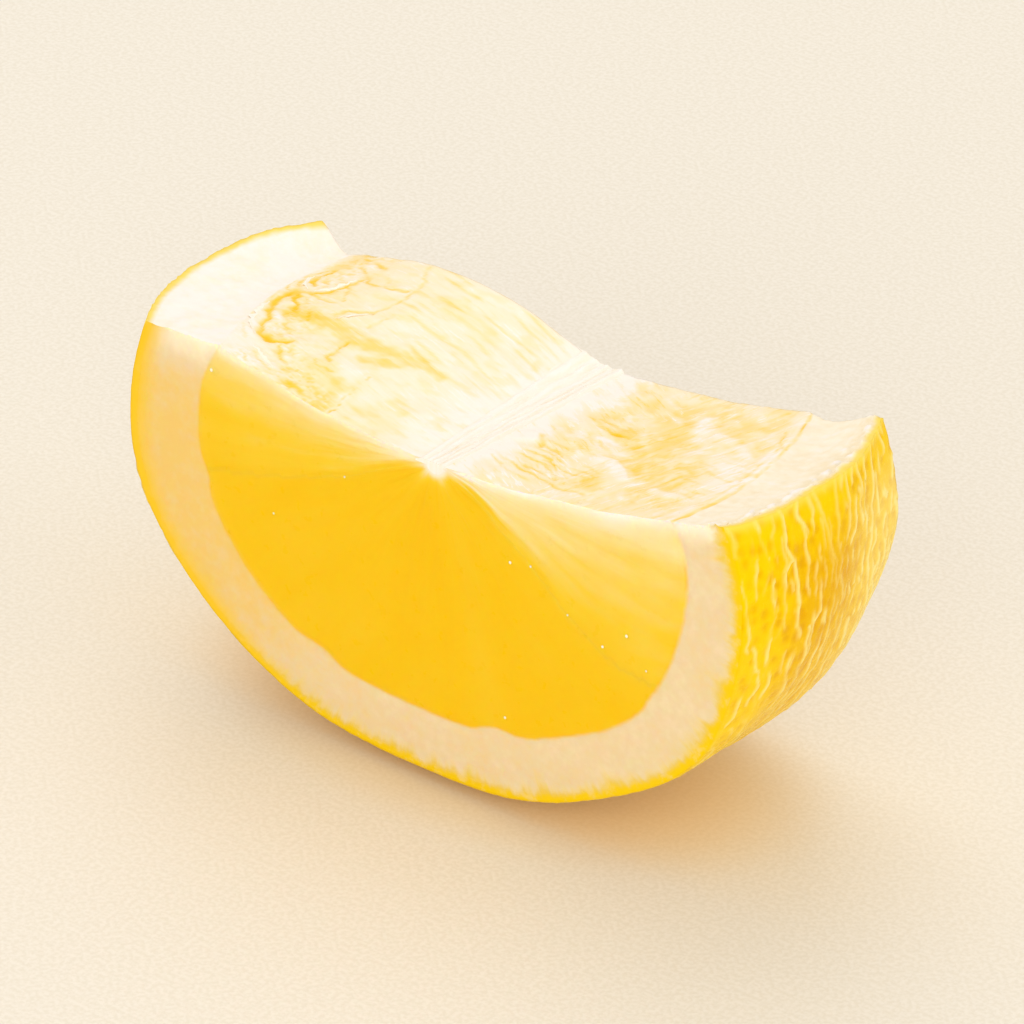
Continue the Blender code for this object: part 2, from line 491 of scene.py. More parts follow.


# %% [markdown]
# ## The lengthwise cut
# The cut runs beside the core, so on each side it opens a segment lengthwise. Its thin white skin
# is left, creased where it is attached to the pith, and where it is torn or thin the juicy flesh
# shows as soft golden windows. The main creases and windows are drawn one by one, and small noise
# bends them. A crease is a valley with a soft lip on both sides.

# %% Draw the creases, windows and film
# Each crease: depth, width in mm, and its course in mm, across from the core and behind the front.
LEFT_CREASES = (
    (0.9, 0.20, ((-24.2, 18.4), (-24.6, 16.6), (-24.2, 15.2), (-23.6, 14.8))),
    (0.6, 0.16, ((-25.6, 14.6), (-25.4, 13.4), (-24.4, 12.4))),
    (0.9, 0.22, ((-24.2, 13.2), (-23.4, 12.3), (-22.8, 11.2), (-22.0, 10.2))),
    (1.0, 0.30, ((-24.0, 12.6), (-24.2, 11.0), (-23.9, 9.4), (-23.3, 8.4), (-22.5, 7.2),
                 (-22.2, 6.0), (-21.0, 4.8), (-20.0, 4.4), (-19.2, 4.9), (-18.9, 5.6))),
    (0.7, 0.18, ((-24.9, 17.8), (-25.3, 16.2), (-25.0, 14.4), (-24.4, 13.4))),
    (0.5, 0.16, ((-24.9, 11.8), (-24.7, 10.2), (-24.4, 9.0))),
    (0.4, 0.14, ((-21.2, 7.4), (-20.2, 7.0), (-19.4, 6.4))),
    (0.45, 0.15, ((-22.0, 8.8), (-21.3, 8.0), (-20.9, 7.2))),
    (0.5, 0.16, ((-19.6, 1.9), (-18.4, 1.2), (-17.2, 0.9))),
    (0.4, 0.12, ((-20.4, 1.0), (-19.2, 0.4), (-18.0, 0.3))),
    (0.4, 0.14, ((-16.0, 4.8), (-14.9, 4.4), (-13.8, 4.5))),
    (0.7, 0.20, ((-19.0, 4.2), (-18.2, 3.4), (-17.2, 2.9))),
    (0.8, 0.20, ((-22.8, 13.4), (-21.6, 14.2), (-21.2, 15.6), (-21.1, 17.4))),
    (0.7, 0.15, ((-21.0, 16.0), (-20.4, 14.6), (-19.9, 13.6))),
    (0.6, 0.22, ((-22.6, 13.2), (-21.4, 12.8), (-20.3, 12.9))),
    (0.6, 0.20, ((-23.6, 21.4), (-22.0, 20.9), (-20.6, 20.2))),
    (0.5, 0.18, ((-22.8, 19.9), (-21.4, 18.7), (-20.2, 17.4), (-18.9, 17.2))),
    (0.6, 0.24, ((-18.6, 17.6), (-17.6, 17.6), (-16.6, 18.1))),
    (0.4, 0.15, ((-19.3, 19.2), (-18.6, 18.0))),
    (0.4, 0.16, ((-17.6, 22.0), (-16.2, 19.6), (-15.9, 16.2), (-16.4, 15.0), (-16.8, 13.4))),
    (0.5, 0.20, ((-16.8, 13.4), (-18.4, 12.4), (-18.9, 11.3), (-18.4, 10.8))),
    (0.3, 0.16, ((-15.1, 14.2), (-15.3, 12.8), (-15.8, 11.6))),
    (0.5, 0.14, ((-20.9, 11.2), (-20.5, 10.2), (-20.0, 9.2))),
    (0.7, 0.15, ((-15.6, 8.9), (-15.3, 7.4), (-15.4, 5.9), (-14.9, 5.6))),
    (0.6, 0.09, ((-11.1, 6.1), (-11.0, 3.5), (-10.7, 0.1))),
    (0.4, 0.12, ((-24.6, 8.2), (-24.0, 7.2), (-23.6, 6.4))),
    (0.3, 0.12, ((-23.0, 4.6), (-22.2, 3.8), (-21.4, 3.0))),
)
RIGHT_CREASES = (
    (0.5, 0.13, ((20.5, 18.6), (21.0, 17.0), (21.9, 16.0), (22.5, 15.8))),
    (0.4, 0.12, ((22.3, 12.0), (22.6, 9.0), (22.9, 6.6))),
    (0.5, 0.13, ((5.6, 4.0), (7.4, 3.7), (9.4, 3.0))),
    (0.4, 0.12, ((6.3, 5.6), (7.6, 5.4), (8.6, 4.8))),
    (0.4, 0.11, ((5.0, 7.6), (6.4, 7.3), (7.4, 6.9))),
    (0.6, 0.24, ((3.5, 9.2), (4.2, 8.4), (4.6, 7.4))),
    (0.4, 0.16, ((9.6, 2.2), (11.2, 1.8), (13.0, 1.9))),
    (0.4, 0.15, ((2.4, 4.0), (3.4, 3.4), (4.2, 3.2))),
    (0.3, 0.13, ((5.9, 13.3), (7.6, 12.8), (9.0, 12.6))),
    (0.3, 0.13, ((5.6, 14.4), (7.0, 14.2), (8.4, 13.8))),
    (0.35, 0.13, ((9.6, 8.9), (11.4, 8.8), (12.8, 7.8), (14.2, 6.2))),
    (0.3, 0.12, ((7.6, 10.8), (9.0, 10.2), (10.6, 9.2))),
)
# Each golden window: strength, half width in mm, and its course, in the same way.
LEFT_WINDOWS = (
    (0.95, 0.85, ((-21.8, 9.7), (-20.4, 10.0), (-18.0, 10.0), (-15.1, 9.6), (-12.2, 9.8),
                  (-9.8, 10.3))),
    (0.75, 0.45, ((-10.8, 10.2), (-9.0, 10.4), (-7.2, 10.1))),
    (0.9, 0.50, ((-10.3, 9.2), (-11.8, 8.4), (-13.2, 7.7))),
    (0.6, 1.5, ((-14.6, 3.6), (-13.4, 2.6))),
    (0.8, 0.55, ((-12.8, 3.9), (-12.0, 2.0), (-11.7, 0.0))),
    (0.6, 0.40, ((-17.4, 2.3), (-15.4, 2.2), (-13.6, 2.2))),
    (0.6, 0.40, ((-16.2, 0.8), (-14.2, 0.9), (-13.0, 0.6))),
    (0.9, 0.65, ((-23.8, 12.3), (-23.5, 12.1))),
    (0.7, 0.40, ((-23.0, 13.2), (-22.0, 13.6), (-21.2, 14.6))),
    (0.45, 0.80, ((-24.2, 22.4), (-24.4, 18.6))),
    (0.5, 0.55, ((-20.6, 4.8), (-19.4, 5.0))),
    (0.35, 0.55, ((-7.6, 4.6), (-6.6, 4.2))),
    (0.35, 0.90, ((-8.8, 2.2), (-6.0, 2.0))),
    (0.4, 0.30, ((-3.4, 18.0), (-3.1, 17.0))),
    (0.3, 0.35, ((-5.9, 14.6), (-4.9, 14.4))),
    (0.3, 0.35, ((-5.6, 12.6), (-4.4, 12.5))),
    (0.35, 0.90, ((-13.0, 18.6), (-8.0, 17.4))),
)
RIGHT_WINDOWS = (
    (0.75, 1.7, ((10.4, 18.2), (11.6, 16.0), (12.6, 14.2))),
    (0.70, 1.5, ((8.2, 19.0), (12.0, 19.4), (16.0, 18.6))),
    (0.90, 1.0, ((8.9, 13.4), (10.4, 11.6), (12.0, 10.0), (13.6, 7.4))),
    (0.75, 2.0, ((13.4, 13.0), (15.0, 11.0), (16.4, 8.4))),
    (0.80, 1.3, ((17.4, 9.4), (17.4, 6.0), (16.8, 3.6))),
    (0.90, 0.9, ((11.4, 5.0), (12.4, 3.4))),
    (0.60, 1.3, ((18.0, 21.4), (18.6, 19.8))),
    (0.70, 1.2, ((16.8, 16.6), (18.8, 15.6), (19.8, 14.2))),
    (0.45, 0.7, ((2.6, 12.8), (4.8, 10.8), (6.9, 9.0))),
    (0.40, 0.8, ((4.8, 21.4), (5.2, 19.4), (6.4, 17.0))),
    (0.35, 1.3, ((4.0, 15.8), (6.8, 14.2))),
    (0.40, 0.8, ((18.4, 3.4), (20.4, 2.4))),
)
# Where the white film lies thick over the right half's windows.
RIGHT_FILM = (
    (0.9, 0.8, ((13.0, 18.4), (13.6, 16.6))),
    (0.7, 0.5, ((15.6, 16.2), (17.6, 15.4), (20.4, 13.6))),
    (0.5, 1.6, ((19.4, 12.4), (20.6, 10.0), (21.4, 8.0))),
    (0.8, 0.5, ((7.8, 11.4), (9.2, 10.8), (10.8, 9.8))),
    (0.8, 0.6, ((9.8, 8.4), (11.4, 8.2), (12.6, 7.2), (13.8, 6.0))),
    (0.5, 0.5, ((16.0, 12.8), (16.2, 11.0))),
    (0.6, 0.4, ((17.4, 5.0), (18.8, 4.6), (20.4, 4.8))),
    (0.5, 0.3, ((15.4, 3.6), (16.0, 2.4))),
)
# The left skin's creased border: the distance behind the front cut, and where the border is there.
# Outside it the white film is whole.
LEFT_CHAIN = (
    (0, -15.5), (1.0, -16.4), (2.4, -17.8), (3.7, -19.8), (6.0, -22.4), (9.4, -24.1),
    (13.3, -25.2), (22.4, -25.6),
)

# %% Helpers for the skins
FIBRE_TURN = 10.5  # mm from the core, where the right half's fibres change direction


def bend(x, y, size, small_size, small_bend, seed):
    """The places moved about by wide and by small hills, so that drawn lines look natural."""
    return [
        place + 0.22 * hills(x / size, y / size, seed + k)
        + small_bend * hills(x / small_size, y / small_size, seed + k + 1)
        for place, k in ((x, 0), (y, 2))
    ]


def folds(x, y, creases):
    """How deep in a crease each point is, how high on a lip beside one, and how smudged, to 1."""
    valley, lip, smudge = (np.zeros(np.shape(x)) for _ in range(3))
    for depth, width, course in creases:
        gap = gap_to_line(x, y, course)
        valley = np.maximum(valley, depth * bell(gap / width))
        lip = np.maximum(lip, depth * bell((gap - 2.2 * width) / (1.2 * width)))
        smudge = np.maximum(smudge, depth * bell(gap / (0.35 + 1.6 * width)))
    return valley, lip, smudge


def thin_lines(way, along_it, seed):
    """Thin broken lines one unit apart, from 0 to 1."""
    way = way + 0.5 * hills(along_it / 5, way / 3, seed)
    shown = rise(-0.25, 0.45, hills(along_it / 4, way * 0.8, seed + 1))
    return bell((way - np.round(way)) / 0.17) * shown


def past_turn(x, y):
    """How far beyond the ragged place where the right half's fibres change direction, in mm."""
    return x - FIBRE_TURN + 3.0 * hills(x / 3, y / 3, 79)


def fibres(x, y, width, length, seed):
    """Noise drawn out along the sacs: forward to the right near the core, and backward beyond."""
    far = rise(-1.0, 1.0, past_turn(x, y))
    near_part = rough_hills((y + 0.6 * x) / width, (x - 0.6 * y) / length, seed, 2)
    far_part = rough_hills((x - 0.4 * y) / width, (y + 0.4 * x) / length, seed, 2)
    return near_part * (1 - far) + far_part * far


def strokes(x, y, windows):
    """1 under soft brush strokes and 0 away from them."""
    covered = np.zeros(np.shape(x))
    for strength, half_width, course in windows:
        away = gap_to_line(x, y, course) / half_width
        covered = np.maximum(covered, strength * rise(1.75, 0.35, away))
    return covered


def unevenness(x, y, seed):
    """Broad hills and a fine grain, in mm."""
    return 0.10 * rough_hills(x / 4.5, y / 3.5, seed, 3) + 0.02 * hills(x / 0.8, y / 0.6, seed + 1)


# %% The two skins and the cut pith
def left_skin(x, y, into_pith):
    """The left half of the lengthwise cut, with x from the core and y behind the front cut.

    Gives the height in mm, how much golden window there is, from 0 to 1, and the tone.
    """
    bent_x, bent_y = bend(x, y, 1.7, 0.75, 0.24, 11)
    valley, lip, smudge = folds(bent_x, bent_y, LEFT_CREASES)
    inside = x - np.interp(y, *zip(*LEFT_CHAIN))
    open_flesh = rise(-0.8, 0.4, inside + 0.5 * hills(x / 1.2, y / 1.2, 46))
    gold = strokes(bent_x, bent_y, LEFT_WINDOWS) * (0.9 + 0.25 * hills(x / 1.4, y / 0.7, 44))
    gold = gold + 0.25 * rise(0.1, 0.7, rough_hills(x / 2.2, y / 1.1, 45, 3))
    gold = np.clip(gold, 0, 1) * open_flesh
    way = y + 0.22 * x + 0.10 * (x / 8) ** 2 + 0.12 * hills(x / 2, y / 1.5, 31)
    lines = thin_lines(way / 1.02, x, 32) * (
        rise(-1.8, -4.0, x) * rise(-17.5, -14.5, x) * rise(9.0, 11.5, y)
        + 0.6 * rise(-3, -6, x) * rise(-12, -10, x) * rise(8, 5, y)
    )
    crumple = bell((inside - 2.2) / 2.4) * rise(0.3, 1.5, y)
    crumple = crumple + 0.7 * rise(2.6, 1.0, y) * rise(-10, -13, x) * rise(-22, -20, x)
    crumple = np.clip(crumple, 0, 1)
    wrinkle = bell(hills(bent_x / 2.0 + 0.3 * bent_y, bent_y / 1.3, 21) / 0.10)
    fine_wrinkle = bell(hills(bent_x / 1.1, bent_y / 0.7 + 0.4 * x, 22) / 0.10)
    wrinkles = np.maximum(wrinkle, 0.6 * fine_wrinkle) * crumple
    wrinkles = wrinkles * rise(-0.2, 0.4, hills(x / 1.6, y / 1.6, 23))
    flecks, flakes = (
        crumple * rise(0.15, 0.42, rough_hills((x + 1.2 * y) / wide, (y - 0.6 * x) / deep, seed, 2))
        for wide, deep, seed in ((0.9, 0.55, 26), (1.0, 0.6, 27))
    )
    valley = valley * (0.95 + 0.6 * hills(x / 1.3, y / 1.3, 24))
    valley = np.maximum(valley, np.maximum(0.45 * wrinkles, 0.35 * flecks))
    valley = np.clip(valley, 0, 1)
    smudge = np.clip(smudge * (0.6 + 1.2 * hills(x / 1.8, y / 1.4, 25)), 0, 1)
    flesh = rise(0.3, -0.2, into_pith)
    height = 0.06 * lip - 0.11 * valley - 0.03 * lines + 0.05 * flakes + 0.08 * (1 - open_flesh)
    height = height + unevenness(x, y, 41)
    # The tone carries painted light: the lips beside the creases are a painted highlight, and the
    # creases and their smudges a painted warm shade.
    tone = (
        0.87 - 0.20 * lines + 0.09 * (lip + flakes) - 0.32 * gold
        - np.maximum(0.56 * valley, 0.22 * smudge)
        + 0.035 * rough_hills(x / 3.0, y / 1.6, 43, 3)
        + 0.08 * (1 - open_flesh) + 0.07 * rise(-7, -2.5, x) + 0.04 * rise(-17, -13, x)
        - 0.06 * rise(1.6, 0.4, y) * rise(-19, -17, x) * rise(-3, -5, x)
    )
    return height * flesh, gold * flesh, tone


def right_skin(x, y, into_pith):
    """The right half of the lengthwise cut, with the same results as for the left."""
    bent_x, bent_y = bend(x, y, 1.9, 0.6, 0.10, 51)
    valley, lip, smudge = folds(bent_x, bent_y, RIGHT_CREASES)
    streaks = fibres(bent_x, bent_y, 1.2, 5.0, 62)
    film = strokes(bent_x, bent_y, RIGHT_FILM)
    clouds = rise(0.0, 0.6, rough_hills(bent_x / 2.4 + 0.3 * bent_y, bent_y / 2.2, 64, 4))
    fold = patch(bent_x, bent_y, (2.7, 8.5), (1.7, 0.9), 0.4)
    gold = strokes(bent_x, bent_y, RIGHT_WINDOWS) + 0.22 * rise(4, 8, x) * rise(23, 20, x)
    gold = gold * (1 - 0.55 * clouds) * (1 - 0.85 * film) + 0.25 * streaks * rise(3, 6, x)
    gold = np.clip(gold, 0, 1) * rise(2.0, 4.5, x + 0.07 * y)
    lined = patch(x, y, (7.5, 5.5), (4.0, 4.0)) + patch(x, y, (7.0, 13.5), (3.0, 1.6))
    lined = np.clip(lined, 0, 1) + 0.5 * patch(x, y, (19.8, 9.0), (2.6, 5.0))
    lines = thin_lines((bent_y + 0.30 * x) / 0.86, x, 63) * lined
    # A torn groove runs along the border with the pith, with a fainter one inside it.
    wander = 0.12 * hills(y / 1.6, x * 0, 69)
    broken = np.clip(0.80 + 1.0 * hills(y / 2.1, x * 0 + 7, 70), 0.25, 1)
    half_width = 0.10 + 0.16 * rise(7, 4, y) * rise(0.5, 2, y)
    groove = broken * bell((into_pith + 0.12 + wander) / half_width)
    inner_groove = 0.5 * broken * bell((into_pith + 0.75 - wander) / 0.12)
    inner_groove = inner_groove * rise(2, 6, y) * rise(20, 15, y)
    valley = np.maximum(valley, np.maximum(groove, inner_groove))
    edge = rise(-2.0, -0.7, into_pith) * rise(0.05, -0.3, into_pith)
    flesh = rise(0.5, 0.1, into_pith)
    height = (
        0.08 * lip - 0.13 * valley + 0.05 * streaks - 0.03 * lines + 0.12 * edge
        + 0.10 * film + 0.20 * fold + unevenness(x, y, 65)
    )
    flakes, flecks = (
        rise(0.08, 0.36, fibres(bent_x, bent_y, width, length, seed)) * rise(*start, x)
        * rise(-0.2, 0.3, hills(x / 3, y / 3, seed + 1))
        for width, length, seed, start in ((0.55, 2.3, 72, (2.5, 5)), (0.50, 2.1, 77, (3.5, 7)))
    )
    # The tone carries painted light: the lips, and partly the white flakes along the fibres, are a
    # painted highlight, and the creases, grooves and their smudges a painted warm shade.
    tone = (
        0.89 + 0.10 * flakes - 0.12 * flecks + 0.10 * streaks + 0.05 * lip + 0.06 * fold
        - 0.36 * lines + 0.12 * film + 0.07 * edge - 0.25 * gold - 0.46 * valley
        - 0.16 * smudge * (0.6 + 1.2 * hills(x / 1.8, y / 1.4, 68))
        + 0.03 * rough_hills(x / 3.0, y / 1.8, 67, 3)
        + 0.10 * rise(4.5, 2, x - 0.05 * y) - 0.05 * rise(8, 3, y) * rise(12, 16, x)
    )
    return height * flesh, gold * flesh, tone


def torn_pith(x, y):
    """Where the cut pith beside the peel curls up in torn shreds, as plain hills."""
    return hills(x / 0.55, y / 1.0 + 0.5 * x, 74)


def pith_top(x, y, into_pith, depth):
    """Height in mm of the cut pith on top: spongy, with a torn fringe beside the peel."""
    inside = rise(-0.1, 0.5, into_pith)
    sponge = 0.10 * rough_hills(x / 1.6, y / 2.6, 71, 4) + 0.06 * hills(x / 0.45, y / 0.8, 72)
    fringe = (0.05 + 0.22 * rise(0.0, 0.40, torn_pith(x, y))) * rise(-2, 4, x)
    fringe = fringe * bell((depth - 1.1) / 0.9)
    return (sponge + fringe) * inside


# %% [markdown]
# ## The crosswise cuts
# A knife went straight across the segments, so these faces are nearly flat. Each segment swells a
# little as its skin tightens, the walls between segments stand as thin pale lines, and the juice
# sacs run like strands from the core to the rind. The relief is small, but it catches the light.

# %% The relief and tone of the crosswise cuts
# The thin walls between segments, as distances and angles from the core, and how plain each is.
WALLS = (
    ((0, 0), (2.9, -16), (6.9, -29), (10.3, -31), (15.9, -35), (21.1, -34), (25, -29.5), 0.8),
    ((0, -63), (8, -72), (25, -76), 0.25),
    ((0, -130), (5, -124), (25, -118), 0.3),
    ((0, -158), (3, -157), (9, -153), (14.8, -155), (19.3, -156.5), (25, -158.6), 0.9),
)
# The core's white rays on a crosswise cut: angle, length in mm and width in mm.
PRONGS = (
    (-3, 2.2, 0.60), (-63, 0.9, 0.50), (-128, 1.2, 0.45), (-158, 1.2, 0.35), (-178, 2.0, 0.60),
)
WALL_HALF_WIDTH, HOLLOW_HALF_WIDTH = 0.22, 1.6  # of a wall and of the dip along it, in mm
FRONT_SEED, BACK_SEED = 101, 151


def crosswise(places, seed):
    """A crosswise cut's height in mm and tone, and the share of the way across the segment."""
    reach, angle, below = places.reach, places.angle, places.below_top
    into_pith = places.into_pith
    across_walls = []
    walls, hollow = np.zeros(len(reach)), np.zeros(len(reach))
    for *course, plain in WALLS:
        distances, turns = zip(*course)
        across = np.radians(angle - np.interp(reach, distances, turns)) * reach
        walls = np.maximum(walls, plain * bell(across / WALL_HALF_WIDTH))
        hollow = np.maximum(hollow, plain * bell(across / HOLLOW_HALF_WIDTH))
        across_walls.append(across)
    right_wall, middle_wall, _, left_wall = across_walls
    # The strands follow the walls and the cut, so they run by the share of the way across.
    right_share = right_wall / np.maximum(right_wall + below, 0.5)
    left_share = -left_wall / np.maximum(below - left_wall, 0.5)
    shares = [3 * right_share + 9, 3 * left_share - 13]
    share = np.select([right_wall > 0, left_wall < 0], shares, (angle + 35) / 20)
    strands = rough_hills(share * 2.2, reach / 7.0, seed, 3)
    fine = hills(share * 9, reach / 4.0, seed + 5)
    sponge = rough_hills(places.x / 1.3, places.z / 1.3, seed + 9, 4) * rise(-0.2, 0.4, into_pith)
    height = 0.12 - 0.10 * hollow + 0.06 * walls + 0.03 * strands + 0.010 * fine
    height = height * rise(0.2, -0.6, into_pith) - 0.06 * bell(into_pith / 0.5)
    height = height + 0.05 * rise(0.1, 0.8, into_pith) + 0.03 * sponge
    star = 0.95 * np.exp(-(np.maximum(reach - CORE_RADIUS - 0.1, 0) / 0.55) ** 1.6)
    for prong, length, width in PRONGS:
        aside = np.radians(angle - prong) * reach / (width + 0.03 * reach)
        beyond = np.maximum(reach - 1.0, 0) / length
        star = np.maximum(star, 0.75 * np.exp(-aside ** 2 - beyond ** 1.5))
    # Painted glow of light coming in through the top cut: a pale band along the top edge, paler
    # upper segments fading downward, and deeper gold low in the middle.
    soft = 0.6 + 0.14 * reach
    above_right = rise(-0.35 * soft, soft, right_wall + 0.4 * strands) * rise(0.6, 2.5, reach)
    above_left = rise(-0.3, 0.9, -left_wall) * rise(0.6, 3, reach)
    right_fall, left_fall = (
        0.44 * np.exp(-(np.maximum(below, 0) / length) ** power)
        for length, power in ((6.5, 1.25), (4.0, 1.4))
    )
    tone = (
        0.20 + 0.20 * bell(below / 0.8) + 0.025 * strands + 0.015 * fine
        + above_right * (angle > -90) * (0.14 + right_fall + 0.05 * strands)
        + above_left * (angle < -90) * (0.05 + left_fall + 0.06 * strands)
        - 0.05 * bell((angle + 95) / 30) * rise(22, 8, reach)
        + 0.10 * walls * rise(1, 3, reach) * (0.8 + 0.6 * hills(reach / 3, angle / 40, seed + 11))
        + 0.05 * bell(right_wall / 2.2) * rise(3, 8, reach)
        + 0.04 * bell(middle_wall / 1.5)
    )
    return height, tone * (1 - star) + star, share


# %% [markdown]
# ## The flesh and pith
# The flesh, the walls of the segments and the pith are one wet body: light enters it anywhere and
# wanders through to glow somewhere else. Built as separate solids it would show dark seams, so it
# is one closed mesh, and attributes painted on its corners tell the material what each spot is.

# %% Shape the body
BLANK_CORE, BLANK_RIM = 1.0, 28.0
BODY_CELLS = (130, 112, 200)  # across, back and round
FLESH_CELLS = 108  # of the cells across, and the rest are pith
ON_CUT = 1e-3  # how near a blank's flat faces its points lie, in mm
CUT_RELIEF_DEPTH, TOP_RELIEF_DEPTH = 1.5, 2.0  # how far inside the relief fades, in mm

body = half_ring(
    "flesh_and_pith", BLANK_CORE, BLANK_RIM, *BODY_CELLS, (BLANK_CORE, BLANK_RIM),
)


def read_blank(points, radii, layers):
    """The share round, layer and distance back of a blank's points, from the layers at radii."""
    round_share = np.arctan2(np.abs(points[:, 2]), points[:, 0]) / np.pi
    layer = np.interp(np.hypot(points[:, 0], points[:, 2]), radii, layers)
    return round_share, layer, np.clip(points[:, 1], 0, LENGTH)


blank = points_of(body)
flesh_radius = BLANK_CORE + (BLANK_RIM - BLANK_CORE) * FLESH_CELLS / BODY_CELLS[0]
places = Places(*read_blank(blank, (BLANK_CORE, flesh_radius, BLANK_RIM), (0, 1, 2)))


def cut_relief(places):
    """How far relief moves each point, back and up, in mm. It fades inside the body."""
    near_front = bell(places.y / CUT_RELIEF_DEPTH)
    near_back = bell((LENGTH - places.y) / CUT_RELIEF_DEPTH)
    near_top = bell(places.below_top / TOP_RELIEF_DEPTH)
    front, back = crosswise(places, FRONT_SEED)[0], crosswise(places, BACK_SEED)[0]
    left_height, right_height = (
        skin(places.x, places.y, places.into_pith)[0] for skin in (left_skin, right_skin)
    )
    top = np.where(places.round_share > 0.5, left_height, right_height)
    top = top * rise(0.6, 2.5, places.reach)
    top = top + pith_top(places.x, places.y, places.into_pith, places.depth)
    return near_back * back - near_front * front, near_top * top


push_back, lift = cut_relief(places)
move_points(body, in_frame(places.x, places.y + push_back, places.z + lift))
# The core and the films lie on this surface, which stops just short of the peel.
is_top = (np.abs(blank[:, 2]) < ON_CUT) & (places.layer < 1.97)
top_surface = np.stack([places.x, places.y, places.z + lift], -1)[is_top]
only(body)
bpy.ops.object.shade_smooth()
print("body points", len(blank))

# %% Paint the body's attributes
def corner_points(mesh):
    """Which point each face corner uses."""
    corners = np.empty(len(mesh.loops), np.int32)
    mesh.loops.foreach_get("vertex_index", corners)
    return corners


def face_places(mesh, points):
    """The middle of each face, repeated for each of its corners."""
    corners = corner_points(mesh)
    counts = np.empty(len(mesh.polygons), np.int32)
    mesh.polygons.foreach_get("loop_total", counts)
    owner = np.repeat(np.arange(len(counts)), counts)
    sums = [np.bincount(owner, points[corners, k], len(counts)) for k in range(3)]
    return (np.stack(sums, -1) / counts[:, None])[owner]


def paint(mesh, **painted):
    """Stores numbers or vectors for the face corners. They are given for corners or for points."""
    for name, values in painted.items():
        if len(values) == len(mesh.vertices):
            values = values[corner_points(mesh)]
        kind, field = ("FLOAT_VECTOR", "vector") if values.ndim == 2 else ("FLOAT", "value")
        attribute = mesh.attributes.new(name, kind, "CORNER")
        attribute.data.foreach_set(field, values.astype(np.float32).ravel())


def vectors(first, second, third=0):
    """Three lists of numbers as vectors."""
    return np.stack([first, second, third + 0 * first], -1)


def pith_shade(places, on_right, on_left, corners):
    """How white the pith is, with painted light: warm painted shade on the crosswise cuts, warmest
    at the left, whiter towards the top as a painted glow, and white on the top cut.
    """
    left_side = rise(-100, -150, places.angle)
    # Painted shade and glow on the crosswise cuts: warm, warmest at the left, whiter near the top.
    to_top = np.exp(-(places.below_top / (1.2 + 1.8 * left_side)) ** 1.5)
    shade = 0.34 - 0.32 * left_side + (0.55 + 0.20 * left_side) * to_top
    fringe = bell((places.depth - 1.1) / 1.0)
    curl = rise(0.05, 0.40, torn_pith(places.x, places.y)) * fringe
    torn = 0.10 * rough_hills(places.x / 1.1, places.y / 0.8, 76, 3)
    right_shade = 0.80 - 0.14 * fringe + 0.45 * curl + torn
    return np.select([on_right, on_left], [right_shade[corners], 0.97], shade[corners])


def paint_rind(mesh, blank, places):
    """Paints what the body and the peel both need, and returns what is known about the corners."""
    middles, corners = face_places(mesh, blank), corner_points(mesh)
    on_top = np.abs(middles[:, 2]) < ON_CUT
    on_right, on_left = on_top & (middles[:, 0] > 0), on_top & (middles[:, 0] < 0)
    paint(
        mesh, on_top=on_top, depth=places.depth, left_side=rise(-112, -140, places.angle),
        pith_shade=pith_shade(places, on_right, on_left, corners),
        teeth=vectors(places.arc * 1.4, places.y * 1.4, places.depth * 0.35),
    )
    return middles, on_right, on_left, corners


middles, on_right, on_left, corners = paint_rind(body.data, blank, places)
x, y = places.x, places.y
_, front_tone, share = crosswise(places, FRONT_SEED)
_, back_tone, _ = crosswise(places, BACK_SEED)
_, left_gold, left_tone = left_skin(x, y, places.into_pith)
_, right_gold, right_tone = right_skin(x, y, places.into_pith)
halves = [on_right, on_left]
on_back = middles[:, 1] > LENGTH - ON_CUT
cut_tone = np.where(on_back, back_tone[corners], front_tone[corners])
# The grain runs along the strands: forward or backward on the right half of the top.
turned = on_right & (past_turn(middles[:, 0], middles[:, 1]) > 0)
paint(
    body.data,
    gold=np.select(halves, [right_gold[corners], left_gold[corners]], 0),
    tone=np.select(halves, [right_tone[corners], left_tone[corners]], cut_tone),
    into_pith=places.into_pith,
    glow=np.minimum(rise(0.8, 2.0, places.depth), rise(1.2, 3.0, places.reach)),
    grain=np.select(
        [on_left[:, None], turned[:, None], on_right[:, None]],
        [
            vectors(x / 6 + 40, (y + 0.22 * x) / 0.9)[corners],
            vectors((y + 0.4 * x) / 8 + 120, (x - 0.4 * y) / 1.2)[corners],
            vectors((x - 0.6 * y) / 8 + 80, (y + 0.6 * x) / 1.2)[corners],
        ],
        vectors(places.reach / 7, share * 3)[corners],
    ),
)
thin_hidden_walls(body)

# %% [markdown]
# ## The peel
# The yellow skin is a thin shell of its own, dimpled all over by oil glands. On this fruit the
# glands lie in rows round the fruit, with wavy ridges between them, painted pale along their
# crests as a highlight. The blank is the same half ring, only much thinner, and its outer points
# are pushed in at each gland.

# %% Shape the peel
PEEL_BLANK_INSIDE = 27.2
PEEL_CELLS = (3, 128, 560)  # across, back and round
RIDGE_LENGTH, RIDGE_GAP, RIDGE_HALF = 5.6, 1.15, 0.17  # in mm
RIDGE_HEIGHT, PIT_DEPTH = 0.09, 0.08  # in mm, where the skin is roughest
RIDGE_STEP = 0.12  # mm between the places where the fields of hills are compared

peel = half_ring("peel", PEEL_BLANK_INSIDE, BLANK_RIM, *PEEL_CELLS, (PEEL_BLANK_INSIDE,))
peel_blank = points_of(peel)
peel_places = Places(*read_blank(peel_blank, (PEEL_BLANK_INSIDE, BLANK_RIM), (2, 3)))


def wavy(arc, y):
    """Two fields of hills drawn out round the fruit; ridges run along their zero lines."""
    bent_y = y + 0.40 * hills(arc / 2.0, y / 2.4, 202) + 0.08 * hills(arc / 0.8, y / 1.0, 208)
    first = hills(arc / RIDGE_LENGTH, bent_y / RIDGE_GAP, 205)
    first = first + 0.16 * hills(arc / 1.7, bent_y / 0.8, 207)
    return first, hills(arc / 3.6, bent_y / 0.95, 212)


